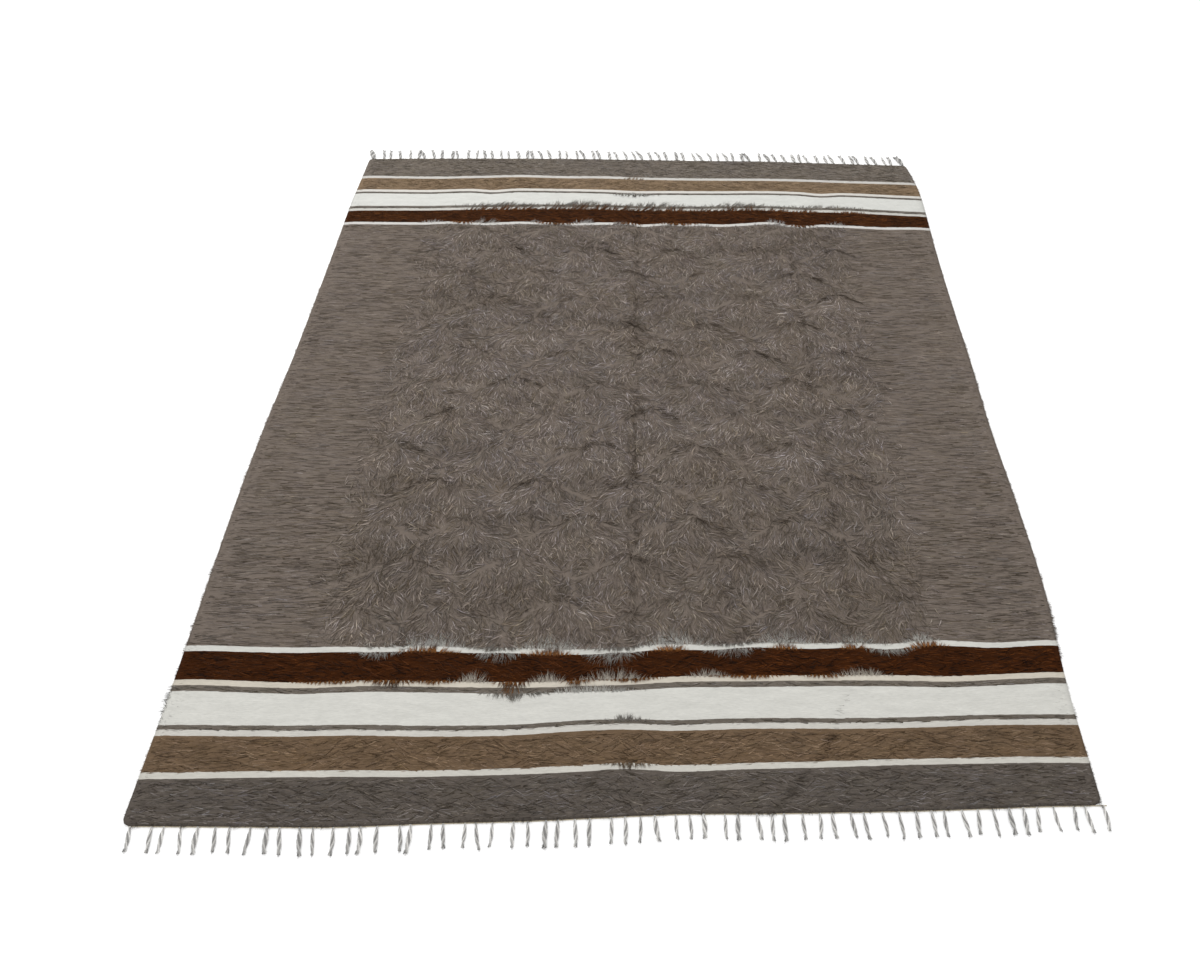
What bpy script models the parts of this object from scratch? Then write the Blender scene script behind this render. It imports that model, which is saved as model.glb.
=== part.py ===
"""Long-pile wool blanket lying flat, with a tasselled end cord along each end.

Lengths are in metres. X runs across the blanket and Y along it, with the front end at -Y. Z is up and the
underside lies on z = 0.
"""

import math
import random
from collections import namedtuple

import bmesh
import bpy

CLOTH_WIDTH = 1.90
CLOTH_LENGTH = 2.44
CLEARANCE = 0.0003

SIDE_MARGIN = 0.29
RIM_THICKNESS = 0.0035
MARGIN_THICKNESS = 0.0062
BRUSHED_THICKNESS = 0.0080
RIM_ROUNDING = 0.030
MARGIN_FADE = 0.070

BAND_DEPTH = 0.405
LOBE_PITCH = 0.256
ROW_PITCH = 0.1256
FIRST_ROW = 0.691
ROW_COUNT = 13
ROW_DRIFT = 0.0119
LOBE_CENTRE = 0.119
LOBE_RISE = 0.0028
LOBE_FALL_OFF = 0.085
PARTING_SLOPE = 0.62
LOBE_WANDER = 0.008

CREASE_DEPTH = 0.0022
CREASE_HALF_WIDTH = 0.016
LONG_CREASES = (-0.488, 0.005, 0.493)
CROSS_CREASES = (-0.590, 0.040)

GRID_ACROSS = 54
GRID_ALONG = 68

CORNER_RADIUS = {"front_left": 0.014, "front_right": 0.016, "back_left": 0.010, "back_right": 0.012}

# How far each side edge bows out past the straight cut, station by station along the blanket
SideStation = namedtuple("SideStation", "along left right")
SIDE_BOW = (
    SideStation(-1.22, 0.007, -0.020),
    SideStation(-0.95, 0.005, -0.015),
    SideStation(-0.68, 0.008, 0.003),
    SideStation(-0.40, 0.011, 0.003),
    SideStation(-0.13, 0.008, -0.002),
    SideStation(0.13, -0.002, 0.002),
    SideStation(0.40, -0.007, 0.002),
    SideStation(0.68, -0.011, 0.005),
    SideStation(0.95, -0.012, 0.013),
    SideStation(1.07, -0.017, 0.012),
    SideStation(1.22, -0.022, -0.005),
)

# How far each end bows out past the straight cut, station by station across the blanket
EndStation = namedtuple("EndStation", "across front back")
END_BOW = (
    EndStation(-0.95, 0.008, 0.004),
    EndStation(-0.75, 0.012, 0.009),
    EndStation(-0.56, 0.017, 0.012),
    EndStation(-0.37, 0.011, 0.014),
    EndStation(-0.18, 0.008, 0.014),
    EndStation(0.10, -0.001, 0.009),
    EndStation(0.26, -0.002, 0.007),
    EndStation(0.45, -0.005, 0.005),
    EndStation(0.65, -0.009, -0.004),
    EndStation(0.81, -0.015, -0.011),
    EndStation(0.95, -0.017, -0.017),
)

CORD_WIDTH = 0.005
CORD_HEIGHT = 0.0034
CORD_OVERHANG = 0.009
TASSEL_LENGTH = 0.054
TASSEL_ROOT_WIDTH = 0.0045
TASSEL_JITTER = 0.006
TASSEL_LEAN = math.radians(5.0)
TASSEL_CURL = 0.05

# A tassel from its root in the end cord to its frayed tip: share of its length, width and height
TasselSection = namedtuple("TasselSection", "share width height")
TASSEL_SECTIONS = (
    TasselSection(0.12, 0.0050, 0.0040),
    TasselSection(0.40, 0.0075, 0.0046),
    TasselSection(0.75, 0.0080, 0.0042),
    TasselSection(1.00, 0.0055, 0.0024),
)

# Each end's tassels: the side it faces, how many, and where the first and last stand and which way they lean
Fringe = namedtuple("Fringe", "name facing count first last first_lean last_lean seed")
FRINGES = (
    Fringe("fringe_front", -1, 61, -0.934, 0.930, math.radians(9.0), math.radians(-3.0), 200),
    Fringe("fringe_back", 1, 64, -0.912, 0.932, math.radians(-4.0), math.radians(-9.0), 378),
)

LOCK_LENGTH = 0.006
LOCK_TIP_HEIGHT = 0.0014
LOCK_SEED = 5


def clear_scene():
    for item in list(bpy.data.objects):
        bpy.data.objects.remove(item, do_unlink=True)


def smooth_step(value):
    value = min(max(value, 0.0), 1.0)
    return value * value * (3.0 - 2.0 * value)


def along_table(rows, column, at):
    """Reads a table's column at any station, on a smooth curve through its rows."""
    places = [row[0] for row in rows]
    values = [getattr(row, column) for row in rows]
    at = min(max(at, places[0]), places[-1])
    last = len(rows) - 1
    low = max(k for k in range(last) if places[k] <= at)
    high = low + 1

    def slope(k):
        before, after = max(k - 1, 0), min(k + 1, last)
        return (values[after] - values[before]) / (places[after] - places[before])

    step = places[high] - places[low]
    t = (at - places[low]) / step
    return (
        values[low] * (1 + 2 * t) * (1 - t) ** 2
        + slope(low) * step * t * (1 - t) ** 2
        + values[high] * t * t * (3 - 2 * t)
        + slope(high) * step * t * t * (t - 1)
    )


def side_edge(side, along):
    column = "left" if side < 0 else "right"
    return side * (CLOTH_WIDTH / 2 + along_table(SIDE_BOW, column, along))


def end_edge(facing, across):
    column = "front" if facing < 0 else "back"
    return facing * (CLOTH_LENGTH / 2 + along_table(END_BOW, column, across))


def round_corner(across, along):
    """Draws the points near each corner inwards onto that corner's round."""
    facing = -1 if along < 0 else 1
    side = -1 if across < 0 else 1
    name = ("front" if facing < 0 else "back") + "_" + ("left" if side < 0 else "right")
    radius = CORNER_RADIUS[name]
    edge_x = side_edge(side, along)
    edge_y = end_edge(facing, across)
    s = 1 - abs(edge_x - across) / radius
    t = 1 - abs(edge_y - along) / radius
    if s <= 0 or t <= 0:
        return across, along
    rounded_s = s * math.sqrt(1 - t * t / 2)
    rounded_t = t * math.sqrt(1 - s * s / 2)
    return across - side * (s - rounded_s) * radius, along - facing * (t - rounded_t) * radius


def stations(half_length, count, creases):
    """Evenly spaced stations, with three of them moved onto each crease."""
    places = [half_length * (2 * k / count - 1) for k in range(count + 1)]
    for crease in creases:
        middle = min(range(1, count), key=lambda k: abs(places[k] - crease))
        for offset in (-1, 0, 1):
            places[middle + offset] = crease + offset * CREASE_HALF_WIDTH
    return places


def lobe_tops():
    """The tops of the brushed lobes, in staggered rows from the back to the front."""
    chance = random.Random(3)
    tops = []
    for row in range(-1, ROW_COUNT):
        along = FIRST_ROW - row * ROW_PITCH
        start = LOBE_CENTRE - row * ROW_DRIFT + (row % 2) * LOBE_PITCH / 2
        for column in range(-4, 4):
            across = start + column * LOBE_PITCH + chance.uniform(-LOBE_WANDER, LOBE_WANDER)
            if abs(across) < CLOTH_WIDTH / 2 - SIDE_MARGIN:
                tops.append((across, along + chance.uniform(-LOBE_WANDER, LOBE_WANDER)))
    return tops


def lobe_height(tops, across, along):
    """A lobe is highest just below its parting and thins out where its tips lie over the next row."""
    height = 0.0
    for top_x, top_y in tops:
        sideways = abs(across - top_x)
        down = top_y - along - PARTING_SLOPE * sideways
        if sideways < LOBE_PITCH / 2 and 0 < down < 2 * ROW_PITCH:
            rise = smooth_step(down / 0.03) * math.exp(-((down / LOBE_FALL_OFF) ** 2))
            height = max(height, LOBE_RISE * rise * (1 - (2 * sideways / LOBE_PITCH) ** 2))
    return height


def crease_depth(across, along):
    lengthwise = max(max(0.0, 1 - abs(across - crease) / CREASE_HALF_WIDTH) for crease in LONG_CREASES)
    crosswise = max(max(0.0, 1 - abs(along - crease) / CREASE_HALF_WIDTH) for crease in CROSS_CREASES)
    in_margin = smooth_step((abs(across) - 0.5) / 0.15)
    return CREASE_DEPTH * max(lengthwise, 0.5 * crosswise * in_margin)


def pile_height(tops, across, along):
    to_side = min(across - side_edge(-1, along), side_edge(1, along) - across)
    to_end = min(along - end_edge(-1, across), end_edge(1, across) - along)
    brushed = smooth_step((to_side - SIDE_MARGIN) / MARGIN_FADE)
    in_field = smooth_step((to_end - BAND_DEPTH) / 0.03)
    full = MARGIN_THICKNESS + (BRUSHED_THICKNESS - MARGIN_THICKNESS) * brushed
    full += in_field * brushed * lobe_height(tops, across, along)
    full += 0.0004 * math.sin(9.0 * across + 2.0) * math.sin(7.0 * along + 1.0)
    full -= crease_depth(across, along)
    rim = smooth_step(min(to_side, to_end) / RIM_ROUNDING)
    return RIM_THICKNESS + (full - RIM_THICKNESS) * rim


def new_grid(name, across_count, along_count):
    """A flat unit grid, as a bmesh with the column and row of each vertex."""
    bpy.ops.mesh.primitive_grid_add(x_subdivisions=across_count, y_subdivisions=along_count, size=1.0)
    item = bpy.context.object
    item.name = name
    item.data.name = name
    bm = bmesh.new()
    bm.from_mesh(item.data)
    places = {
        vertex: (round((vertex.co.x + 0.5) * across_count), round((vertex.co.y + 0.5) * along_count))
        for vertex in bm.verts
    }
    return item, bm, places


def close_below(bm):
    """Drops walls from the sheet's rim to the ground and closes the underside flat."""
    rim = [edge for edge in bm.edges if edge.is_boundary]
    dropped = bmesh.ops.extrude_edge_only(bm, edges=rim)["geom"]
    for vertex in (part for part in dropped if isinstance(part, bmesh.types.BMVert)):
        vertex.co.z = 0.0
    lower_rim = [edge for edge in bm.edges if edge.is_boundary]
    bmesh.ops.edgenet_fill(bm, edges=lower_rim)
    bmesh.ops.recalc_face_normals(bm, faces=bm.faces[:])


def draw_out(bm, face, sections):
    """Draws one wall face out into a lock that rests on the ground.

    Each section gives its middle, its direction across the lock, its width and its height.
    """
    for middle_x, middle_y, cross_x, cross_y, width, height in sections:
        face = bmesh.ops.extrude_discrete_faces(bm, faces=[face])["faces"][0]
        centre = face.calc_center_median()
        for vertex in face.verts:
            offset = (vertex.co.x - centre.x) * cross_x + (vertex.co.y - centre.y) * cross_y
            half = math.copysign(width / 2, offset)
            upper = vertex.co.z > centre.z
            vertex.co = (middle_x + cross_x * half, middle_y + cross_y * half, height if upper else 0.0)


def dress(item, name, colour, roughness):
    material = bpy.data.materials.new(name)
    material.use_nodes = True
    shader = material.node_tree.nodes["Principled BSDF"]
    shader.inputs["Base Color"].default_value = (*colour, 1.0)
    shader.inputs["Roughness"].default_value = roughness
    shader.inputs["Metallic"].default_value = 0.0
    item.data.materials.append(material)


def finish(item, bm, group):
    bm.to_mesh(item.data)
    bm.free()
    for owner in list(item.users_collection):
        owner.objects.unlink(item)
    group.objects.link(item)
    item.data.shade_smooth()
    item.data.set_sharp_from_angle(angle=math.radians(50))


def rim_locks(bm):
    """Tufts of pile that stand out past the selvedges, on every second wall face."""
    chance = random.Random(LOCK_SEED)
    for side in (-1, 1):
        walls = [f for f in bm.faces if f.normal.x * side > 0.9 and abs(f.normal.z) < 0.3]
        walls.sort(key=lambda f: f.calc_center_median().y)
        for wall in walls[2:-4:2]:
            middle = wall.calc_center_median()
            length = LOCK_LENGTH * chance.uniform(0.5, 1.5)
            droop = chance.uniform(-0.3, 0.3) * length
            sections = (
                (middle.x + side * length * 0.5, middle.y + droop / 2, 0, 1, 0.017, RIM_THICKNESS * 0.7),
                (middle.x + side * length, middle.y + droop, 0, 1, 0.006, LOCK_TIP_HEIGHT),
            )
            draw_out(bm, wall, sections)


def build_cloth(group):
    item, bm, places = new_grid("blanket", GRID_ACROSS, GRID_ALONG)
    columns = stations(CLOTH_WIDTH / 2, GRID_ACROSS, LONG_CREASES)
    rows = stations(CLOTH_LENGTH / 2, GRID_ALONG, CROSS_CREASES)
    tops = lobe_tops()
    for vertex, (column, row) in places.items():
        across_share = columns[column] / CLOTH_WIDTH + 0.5
        along_share = rows[row] / CLOTH_LENGTH + 0.5
        left, right = side_edge(-1, rows[row]), side_edge(1, rows[row])
        across = left + (right - left) * across_share
        front, back = end_edge(-1, across), end_edge(1, across)
        along = front + (back - front) * along_share
        height = pile_height(tops, across, along)
        vertex.co = (*round_corner(across, along), height)
    close_below(bm)
    rim_locks(bm)
    dress(item, "grey_brown_pile", (0.135, 0.115, 0.098), 0.95)
    finish(item, bm, group)


def tassel_path(fringe, number, chance):
    """Where a tassel leaves the end cord, which way it leans and how far it curls."""
    share = number / (fringe.count - 1)
    across = fringe.first + (fringe.last - fringe.first) * share
    across += chance.uniform(-TASSEL_JITTER, TASSEL_JITTER)
    lean = fringe.first_lean + (fringe.last_lean - fringe.first_lean) * share
    lean += chance.uniform(-TASSEL_LEAN, TASSEL_LEAN)
    curl = chance.uniform(-TASSEL_CURL, TASSEL_CURL)
    length = TASSEL_LENGTH * chance.uniform(0.9, 1.06)
    return across, lean, curl, length


def build_fringe(group, fringe):
    chance = random.Random(fringe.seed)
    tassels = [tassel_path(fringe, number, chance) for number in range(fringe.count)]
    columns = [fringe.first - CORD_OVERHANG]
    for across, _, _, _ in tassels:
        columns += [across - TASSEL_ROOT_WIDTH / 2, across + TASSEL_ROOT_WIDTH / 2]
    columns.append(fringe.last + CORD_OVERHANG)
    item, bm, places = new_grid(fringe.name, len(columns) - 1, 1)
    for vertex, (column, row) in places.items():
        inner = end_edge(fringe.facing, columns[column]) + fringe.facing * CLEARANCE
        outer = inner + fringe.facing * CORD_WIDTH
        along = sorted((inner, outer))[row]
        vertex.co = (columns[column], along, CORD_HEIGHT)
    close_below(bm)
    walls = [f for f in bm.faces if f.normal.y * fringe.facing > 0.9]
    walls.sort(key=lambda f: f.calc_center_median().x)
    for root, (across, lean, curl, length) in zip(walls[1::2], tassels):
        start = root.calc_center_median()
        sections = []
        for section in TASSEL_SECTIONS:
            reach = length * section.share
            sideways = reach * math.tan(lean) + curl * length * section.share ** 2
            angle = math.atan(math.tan(lean) + 2 * curl * section.share)
            cross = (math.cos(angle), -fringe.facing * math.sin(angle))
            middle = (start.x + sideways, start.y + fringe.facing * reach)
            sections.append((*middle, *cross, section.width, section.height))
        draw_out(bm, root, sections)
    dress(item, fringe.name + "_cotton", (0.50, 0.47, 0.42), 0.9)
    finish(item, bm, group)


def main():
    clear_scene()
    group = bpy.data.collections.new("wool_blanket")
    bpy.context.scene.collection.children.link(group)
    build_cloth(group)
    for fringe in FRINGES:
        build_fringe(group, fringe)


main()
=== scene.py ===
"""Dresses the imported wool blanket: its woven ground, brushed pile, bands, creases and tasselled ends.

Lengths are in metres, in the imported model's own frame. X runs across the blanket, Y along it with the front
end at -Y, and Z is up from the flat underside.
"""

from __future__ import annotations

import logging
import math
import random
from collections.abc import Callable
from dataclasses import dataclass, field, replace
from enum import Enum

import bpy
import numpy as np
from mathutils import Matrix, Vector


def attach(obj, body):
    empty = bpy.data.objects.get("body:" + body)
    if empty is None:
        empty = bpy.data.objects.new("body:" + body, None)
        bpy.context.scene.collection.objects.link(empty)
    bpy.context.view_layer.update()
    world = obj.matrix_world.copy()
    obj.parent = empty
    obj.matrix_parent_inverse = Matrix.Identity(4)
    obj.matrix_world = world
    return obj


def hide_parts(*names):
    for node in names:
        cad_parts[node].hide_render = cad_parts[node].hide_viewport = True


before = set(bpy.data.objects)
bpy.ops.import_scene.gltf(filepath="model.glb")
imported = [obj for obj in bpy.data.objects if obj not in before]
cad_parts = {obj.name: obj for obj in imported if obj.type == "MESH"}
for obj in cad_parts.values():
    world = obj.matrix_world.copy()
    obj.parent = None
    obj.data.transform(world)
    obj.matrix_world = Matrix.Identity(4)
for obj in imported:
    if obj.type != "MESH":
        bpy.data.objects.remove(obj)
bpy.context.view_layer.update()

LOG = logging.getLogger("wool_blanket")

Array = np.ndarray
Chance = np.random.Generator
Pair = tuple[float, float]

# Wool whose mean linear colour is above the first value counts as pale, and below the second as dark
PALE_WOOL = 0.27
DARK_WOOL = 0.06
# Each piece of hair has this many cells across its map, one for each lock
MAP_COLUMNS = 160


class End(Enum):
    """The two short ends of the blanket, by the way that each one faces along Y."""

    FRONT = -1
    BACK = 1


class Side(Enum):
    """The two long sides of the blanket, by the way that each one faces along X."""

    LEFT = -1
    RIGHT = 1


class Grain(Enum):
    """The noise patterns, each with its own seed."""

    CREASE_WANDER = 5
    CREASE_BREAKS = 6
    BLOTCHES = 9
    PATCHES = 31
    WARM_WIDE = 33
    WARM_FINE = 34
    GREEN = 35
    SWIRL_WIDE = 51
    SWIRL_FINE = 52
    TUFTS = 61
    RIM_CLUMPS = 77
    END_CLUMPS = 78


def smooth_step(value: Array) -> Array:
    """Eases a value from 0 to 1."""
    value = np.clip(value, 0.0, 1.0)
    return value * value * (3.0 - 2.0 * value)


def through_rows(places: list[float], values: list[float], at: Array) -> Array:
    """Reads a table on a smooth curve through its rows.

    Args:
        places: where each row stands, in rising order.
        values: the row's value.
        at: the places to read, held inside the table.

    Returns:
        The value at each place.
    """
    p = np.array(places)
    v = np.array(values)
    before = np.maximum(np.arange(len(p)) - 1, 0)
    after = np.minimum(np.arange(len(p)) + 1, len(p) - 1)
    slopes = (v[after] - v[before]) / (p[after] - p[before])
    at = np.clip(at, p[0], p[-1])
    low = np.clip(np.searchsorted(p, at, side="right") - 1, 0, len(p) - 2)
    step = p[low + 1] - p[low]
    t = (at - p[low]) / step
    return (
        v[low] * (1 + 2 * t) * (1 - t) ** 2
        + slopes[low] * step * t * (1 - t) ** 2
        + v[low + 1] * t * t * (3 - 2 * t)
        + slopes[low + 1] * step * t * t * (t - 1)
    )


def linear(hex_colour: str) -> Array:
    """Turns a colour such as #6f675e into linear red, green and blue."""
    parts = np.array([int(hex_colour[k : k + 2], 16) for k in (1, 3, 5)]) / 255.0
    return np.where(parts <= 0.04045, parts / 12.92, ((parts + 0.055) / 1.055) ** 2.4)


class ValueNoise:
    """Smooth repeatable noise from 0 to 1 over the plane."""

    def __init__(self, grain: Grain, size: int = 256) -> None:
        """Fills a square table with seeded random values."""
        self.size = size
        self.table = np.random.default_rng(grain.value).random((size, size))

    def __call__(self, x: Array, y: Array) -> Array:
        """Reads the noise.

        Args:
            x: first coordinate, one noise cell for each whole number.
            y: second coordinate.

        Returns:
            The noise, from 0 to 1.
        """
        xi = np.floor(x).astype(int)
        yi = np.floor(y).astype(int)
        tx = smooth_step(x - xi)
        ty = smooth_step(y - yi)
        x0, x1 = xi % self.size, (xi + 1) % self.size
        y0, y1 = yi % self.size, (yi + 1) % self.size
        low = self.table[x0, y0] * (1 - tx) + self.table[x1, y0] * tx
        high = self.table[x0, y1] * (1 - tx) + self.table[x1, y1] * tx
        return low * (1 - ty) + high * ty


@dataclass(frozen=True)
class SideStation:
    """How far each side edge bows out past the straight cut, at one station along the blanket."""

    along: float
    left: float
    right: float


@dataclass(frozen=True)
class EndStation:
    """How far each end bows out past the straight cut, at one station across the blanket."""

    across: float
    front: float
    back: float


@dataclass(frozen=True)
class Outline:
    """The blanket's uneven outline, as it lies."""

    width: float = 1.90
    length: float = 2.44
    sides: tuple[SideStation, ...] = (
        SideStation(-1.22, 0.007, -0.020),
        SideStation(-0.95, 0.005, -0.015),
        SideStation(-0.68, 0.008, 0.003),
        SideStation(-0.40, 0.011, 0.003),
        SideStation(-0.13, 0.008, -0.002),
        SideStation(0.13, -0.002, 0.002),
        SideStation(0.40, -0.007, 0.002),
        SideStation(0.68, -0.011, 0.005),
        SideStation(0.95, -0.012, 0.013),
        SideStation(1.07, -0.017, 0.012),
        SideStation(1.22, -0.022, -0.005),
    )
    ends: tuple[EndStation, ...] = (
        EndStation(-0.95, 0.010, 0.004),
        EndStation(-0.75, 0.013, 0.009),
        EndStation(-0.56, 0.0155, 0.012),
        EndStation(-0.37, 0.010, 0.014),
        EndStation(-0.18, 0.006, 0.014),
        EndStation(0.10, -0.005, 0.009),
        EndStation(0.26, -0.005, 0.007),
        EndStation(0.45, -0.0065, 0.005),
        EndStation(0.65, -0.010, -0.004),
        EndStation(0.81, -0.015, -0.011),
        EndStation(0.95, -0.017, -0.017),
    )
    corner_radii: tuple[tuple[End, Side, float], ...] = (
        (End.FRONT, Side.LEFT, 0.014),
        (End.FRONT, Side.RIGHT, 0.016),
        (End.BACK, Side.LEFT, 0.010),
        (End.BACK, Side.RIGHT, 0.012),
    )

    def side_edge(self, side: Side, along: Array) -> Array:
        """Where a side edge lies across, at stations along the blanket."""
        bows = [s.left if side is Side.LEFT else s.right for s in self.sides]
        bow = through_rows([s.along for s in self.sides], bows, along)
        return side.value * (self.width / 2 + bow)

    def end_edge(self, end: End, across: Array) -> Array:
        """Where an end lies along, at stations across the blanket."""
        bows = [s.front if end is End.FRONT else s.back for s in self.ends]
        bow = through_rows([s.across for s in self.ends], bows, across)
        return end.value * (self.length / 2 + bow)

    def to_side(self, x: Array, y: Array) -> Array:
        """Distance in from the nearer side edge."""
        return np.minimum(x - self.side_edge(Side.LEFT, y), self.side_edge(Side.RIGHT, y) - x)

    def to_end(self, end: End, x: Array, y: Array) -> Array:
        """Distance in from one end."""
        return end.value * (self.end_edge(end, x) - y)

    def to_nearer_end(self, x: Array, y: Array) -> Array:
        """Distance in from the nearer end."""
        return np.minimum(self.to_end(End.FRONT, x, y), self.to_end(End.BACK, x, y))

    def round_corners(self, x: Array, y: Array) -> tuple[Array, Array]:
        """Draws the points near each corner inwards onto that corner's round."""
        x, y = x.copy(), y.copy()
        for end, side, radius in self.corner_radii:
            s = 1 - np.abs(self.side_edge(side, y) - x) / radius
            t = 1 - np.abs(self.end_edge(end, x) - y) / radius
            near = (s > 0) & (t > 0)
            sn, tn = s[near], t[near]
            x[near] -= side.value * (sn - sn * np.sqrt(1 - tn * tn / 2)) * radius
            y[near] -= end.value * (tn - tn * np.sqrt(1 - sn * sn / 2)) * radius
        return x, y

    def inside(self, x: Array, y: Array, margin: float) -> Array:
        """Whether points lie on the cloth, at least a margin in from its edge."""
        held = np.minimum(self.to_side(x, y), self.to_nearer_end(x, y)) > margin
        for end, side, radius in self.corner_radii:
            s = radius - np.abs(self.side_edge(side, y) - x)
            t = radius - np.abs(self.end_edge(end, x) - y)
            held &= ~((s > 0) & (t > 0) & (np.hypot(s, t) > radius - margin))
        return held


@dataclass(frozen=True)
class WovenLine:
    """One group of light lines: where it begins on the straight plan, its width, and how it wanders.

    Each pair of a wander holds a station across and how far in from the end the group begins there.
    """

    begins: float
    width: float
    front: tuple[Pair, ...]
    back: tuple[Pair, ...]

    def real(self, end: End, x: Array) -> Array:
        """How far in from an end the group begins, at stations across."""
        pairs = self.front if end is End.FRONT else self.back
        return through_rows([p[0] for p in pairs], [p[1] for p in pairs], x)


@dataclass(frozen=True)
class Band:
    """One woven band: how far in from the end it reaches, and its colour at each end, partly the wool's own
    and partly painted light: the back end's greys, tan and brown are set lighter where the light falls
    brighter.
    """

    name: str
    reach: float
    front: str
    back: str


@dataclass(frozen=True)
class BandPlan:
    """The woven bands, the same from each end inwards, and how their lines wander."""

    outline: Outline
    # The back colours of the greys, tan and brown are partly painted light: lighter than the front's for the
    # brighter light over the back
    bands: tuple[Band, ...] = (
        Band("end_grey", 0.100, "#675f58", "#7b7269"),
        Band("first_white", 0.113, "#bcb9b1", "#b9b6b1"),
        Band("tan", 0.190, "#77624d", "#8b765f"),
        Band("second_white", 0.2045, "#bcb9b2", "#c1beb8"),
        Band("first_thin_grey", 0.2155, "#726a61", "#787169"),
        Band("wide_white", 0.288, "#c1c0ba", "#c1c1bc"),
        Band("second_thin_grey", 0.302, "#766e65", "#7b746c"),
        Band("third_white", 0.315, "#beb7aa", "#b9b7b1"),
        Band("dark_brown", 0.389, "#43220a", "#48270e"),
        Band("fourth_white", 0.4035, "#bfbeb8", "#bebcb8"),
    )
    field_colour: str = "#7b7067"
    lines: tuple[WovenLine, ...] = (
        WovenLine(
            0.1, 0.013,
            (
                (-0.9, 0.093), (-0.7, 0.098), (-0.55, 0.099), (-0.4, 0.093), (-0.25, 0.093), (-0.1, 0.094),
                (0.0, 0.095), (0.1, 0.085), (0.25, 0.089), (0.4, 0.091), (0.55, 0.093), (0.7, 0.092),
                (0.9, 0.087),
            ),
            (
                (-0.9, 0.116), (-0.7, 0.124), (-0.55, 0.122), (-0.4, 0.115), (-0.25, 0.121), (-0.1, 0.120),
                (0.0, 0.124), (0.1, 0.124), (0.25, 0.123), (0.4, 0.121), (0.55, 0.119), (0.7, 0.118),
                (0.9, 0.116),
            ),
        ),
        WovenLine(
            0.19, 0.0255,
            (
                (-0.9, 0.187), (-0.7, 0.187), (-0.55, 0.189), (-0.4, 0.181), (-0.25, 0.179), (-0.1, 0.184),
                (0.0, 0.182), (0.1, 0.175), (0.25, 0.179), (0.4, 0.177), (0.55, 0.175), (0.7, 0.177),
                (0.9, 0.173),
            ),
            (
                (-0.9, 0.201), (-0.7, 0.208), (-0.55, 0.203), (-0.48, 0.210), (-0.4, 0.200),
                (-0.25, 0.202), (-0.1, 0.205), (0, 0.210), (0.1, 0.206), (0.25, 0.203), (0.4, 0.199),
                (0.55, 0.199), (0.62, 0.206), (0.7, 0.195), (0.9, 0.200),
            ),
        ),
        WovenLine(
            0.288, 0.027,
            (
                (-0.9, 0.296), (-0.7, 0.290), (-0.55, 0.295), (-0.4, 0.288), (-0.25, 0.281), (-0.1, 0.280),
                (0.0, 0.278), (0.1, 0.281), (0.25, 0.282), (0.4, 0.282), (0.55, 0.279), (0.7, 0.273),
                (0.9, 0.277),
            ),
            (
                (-0.9, 0.306), (-0.7, 0.309), (-0.55, 0.307), (-0.4, 0.303), (-0.25, 0.301), (-0.1, 0.302),
                (0.0, 0.305), (0.1, 0.304), (0.25, 0.300), (0.4, 0.294), (0.55, 0.298), (0.7, 0.293),
                (0.9, 0.300),
            ),
        ),
        WovenLine(
            0.389, 0.0145,
            (
                (-0.9, 0.395), (-0.74, 0.391), (-0.62, 0.394), (-0.55, 0.392), (-0.46, 0.394),
                (-0.34, 0.384), (-0.25, 0.381), (-0.1, 0.372), (0, 0.373), (0.08, 0.377), (0.18, 0.374),
                (0.26, 0.381), (0.4, 0.376), (0.5, 0.377), (0.57, 0.371), (0.66, 0.380), (0.8, 0.369),
                (0.9, 0.373),
            ),
            (
                (-0.9, 0.399), (-0.7, 0.405), (-0.6, 0.402), (-0.47, 0.409), (-0.36, 0.403),
                (-0.24, 0.411), (-0.1, 0.405), (-0.02, 0.404), (0.03, 0.413), (0.1, 0.401), (0.15, 0.406),
                (0.2, 0.403), (0.27, 0.407), (0.36, 0.398), (0.43, 0.389), (0.48, 0.397), (0.54, 0.407),
                (0.6, 0.396), (0.7, 0.395), (0.8, 0.398), (0.9, 0.393),
            ),
        ),
    )
    deepest: float = 0.45

    def even_depth(self, end: End, x: Array, depth: Array) -> Array:
        """Turns a depth in from an end into the depth that it would have if the lines ran straight.

        Args:
            end: the end that the depth is measured from.
            x: stations across the blanket.
            depth: distances in from the end.

        Returns:
            The depths on the straight plan of the bands.
        """
        shift = np.zeros_like(depth)
        previous_real = np.zeros_like(depth)
        previous_even = np.zeros_like(depth)
        for line in self.lines:
            real = line.real(end, x)
            share = np.clip((depth - previous_real) / (real - previous_real), 0.0, 1.0)
            here = (depth >= previous_real) & (depth < real)
            even = previous_even + share * (line.begins - previous_even)
            shift = np.where(here, even - depth, shift)
            on_lines = (depth >= real) & (depth < real + line.width)
            shift = np.where(on_lines, line.begins - real, shift)
            previous_real = real + line.width
            previous_even = np.full_like(depth, line.begins + line.width)
        shift = np.where(depth >= previous_real, previous_even - previous_real, shift)
        return depth + shift

    def real_depth(self, end: End, x: Array, even: float) -> Array:
        """How far in from an end one of the lines lies, at stations across."""
        group = [line for line in self.lines if line.begins <= even + 1e-6][-1]
        return group.real(end, x) + even - group.begins

    @property
    def span(self) -> float:
        """The depth of both ends' bands together, which the plan's places share out."""
        return 2 * self.deepest

    def place(self, x: Array, y: Array) -> Array:
        """Where points lie on the plan of bands, from 0 at the front end to 1 at the back end."""
        front = self.even_depth(End.FRONT, x, np.maximum(self.outline.to_end(End.FRONT, x, y), 0.0))
        back = self.even_depth(End.BACK, x, np.maximum(self.outline.to_end(End.BACK, x, y), 0.0))
        from_front = np.minimum(front, self.deepest) / self.span
        from_back = 1 - np.minimum(back, self.deepest) / self.span
        return np.where(y < 0, from_front, from_back)

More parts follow.
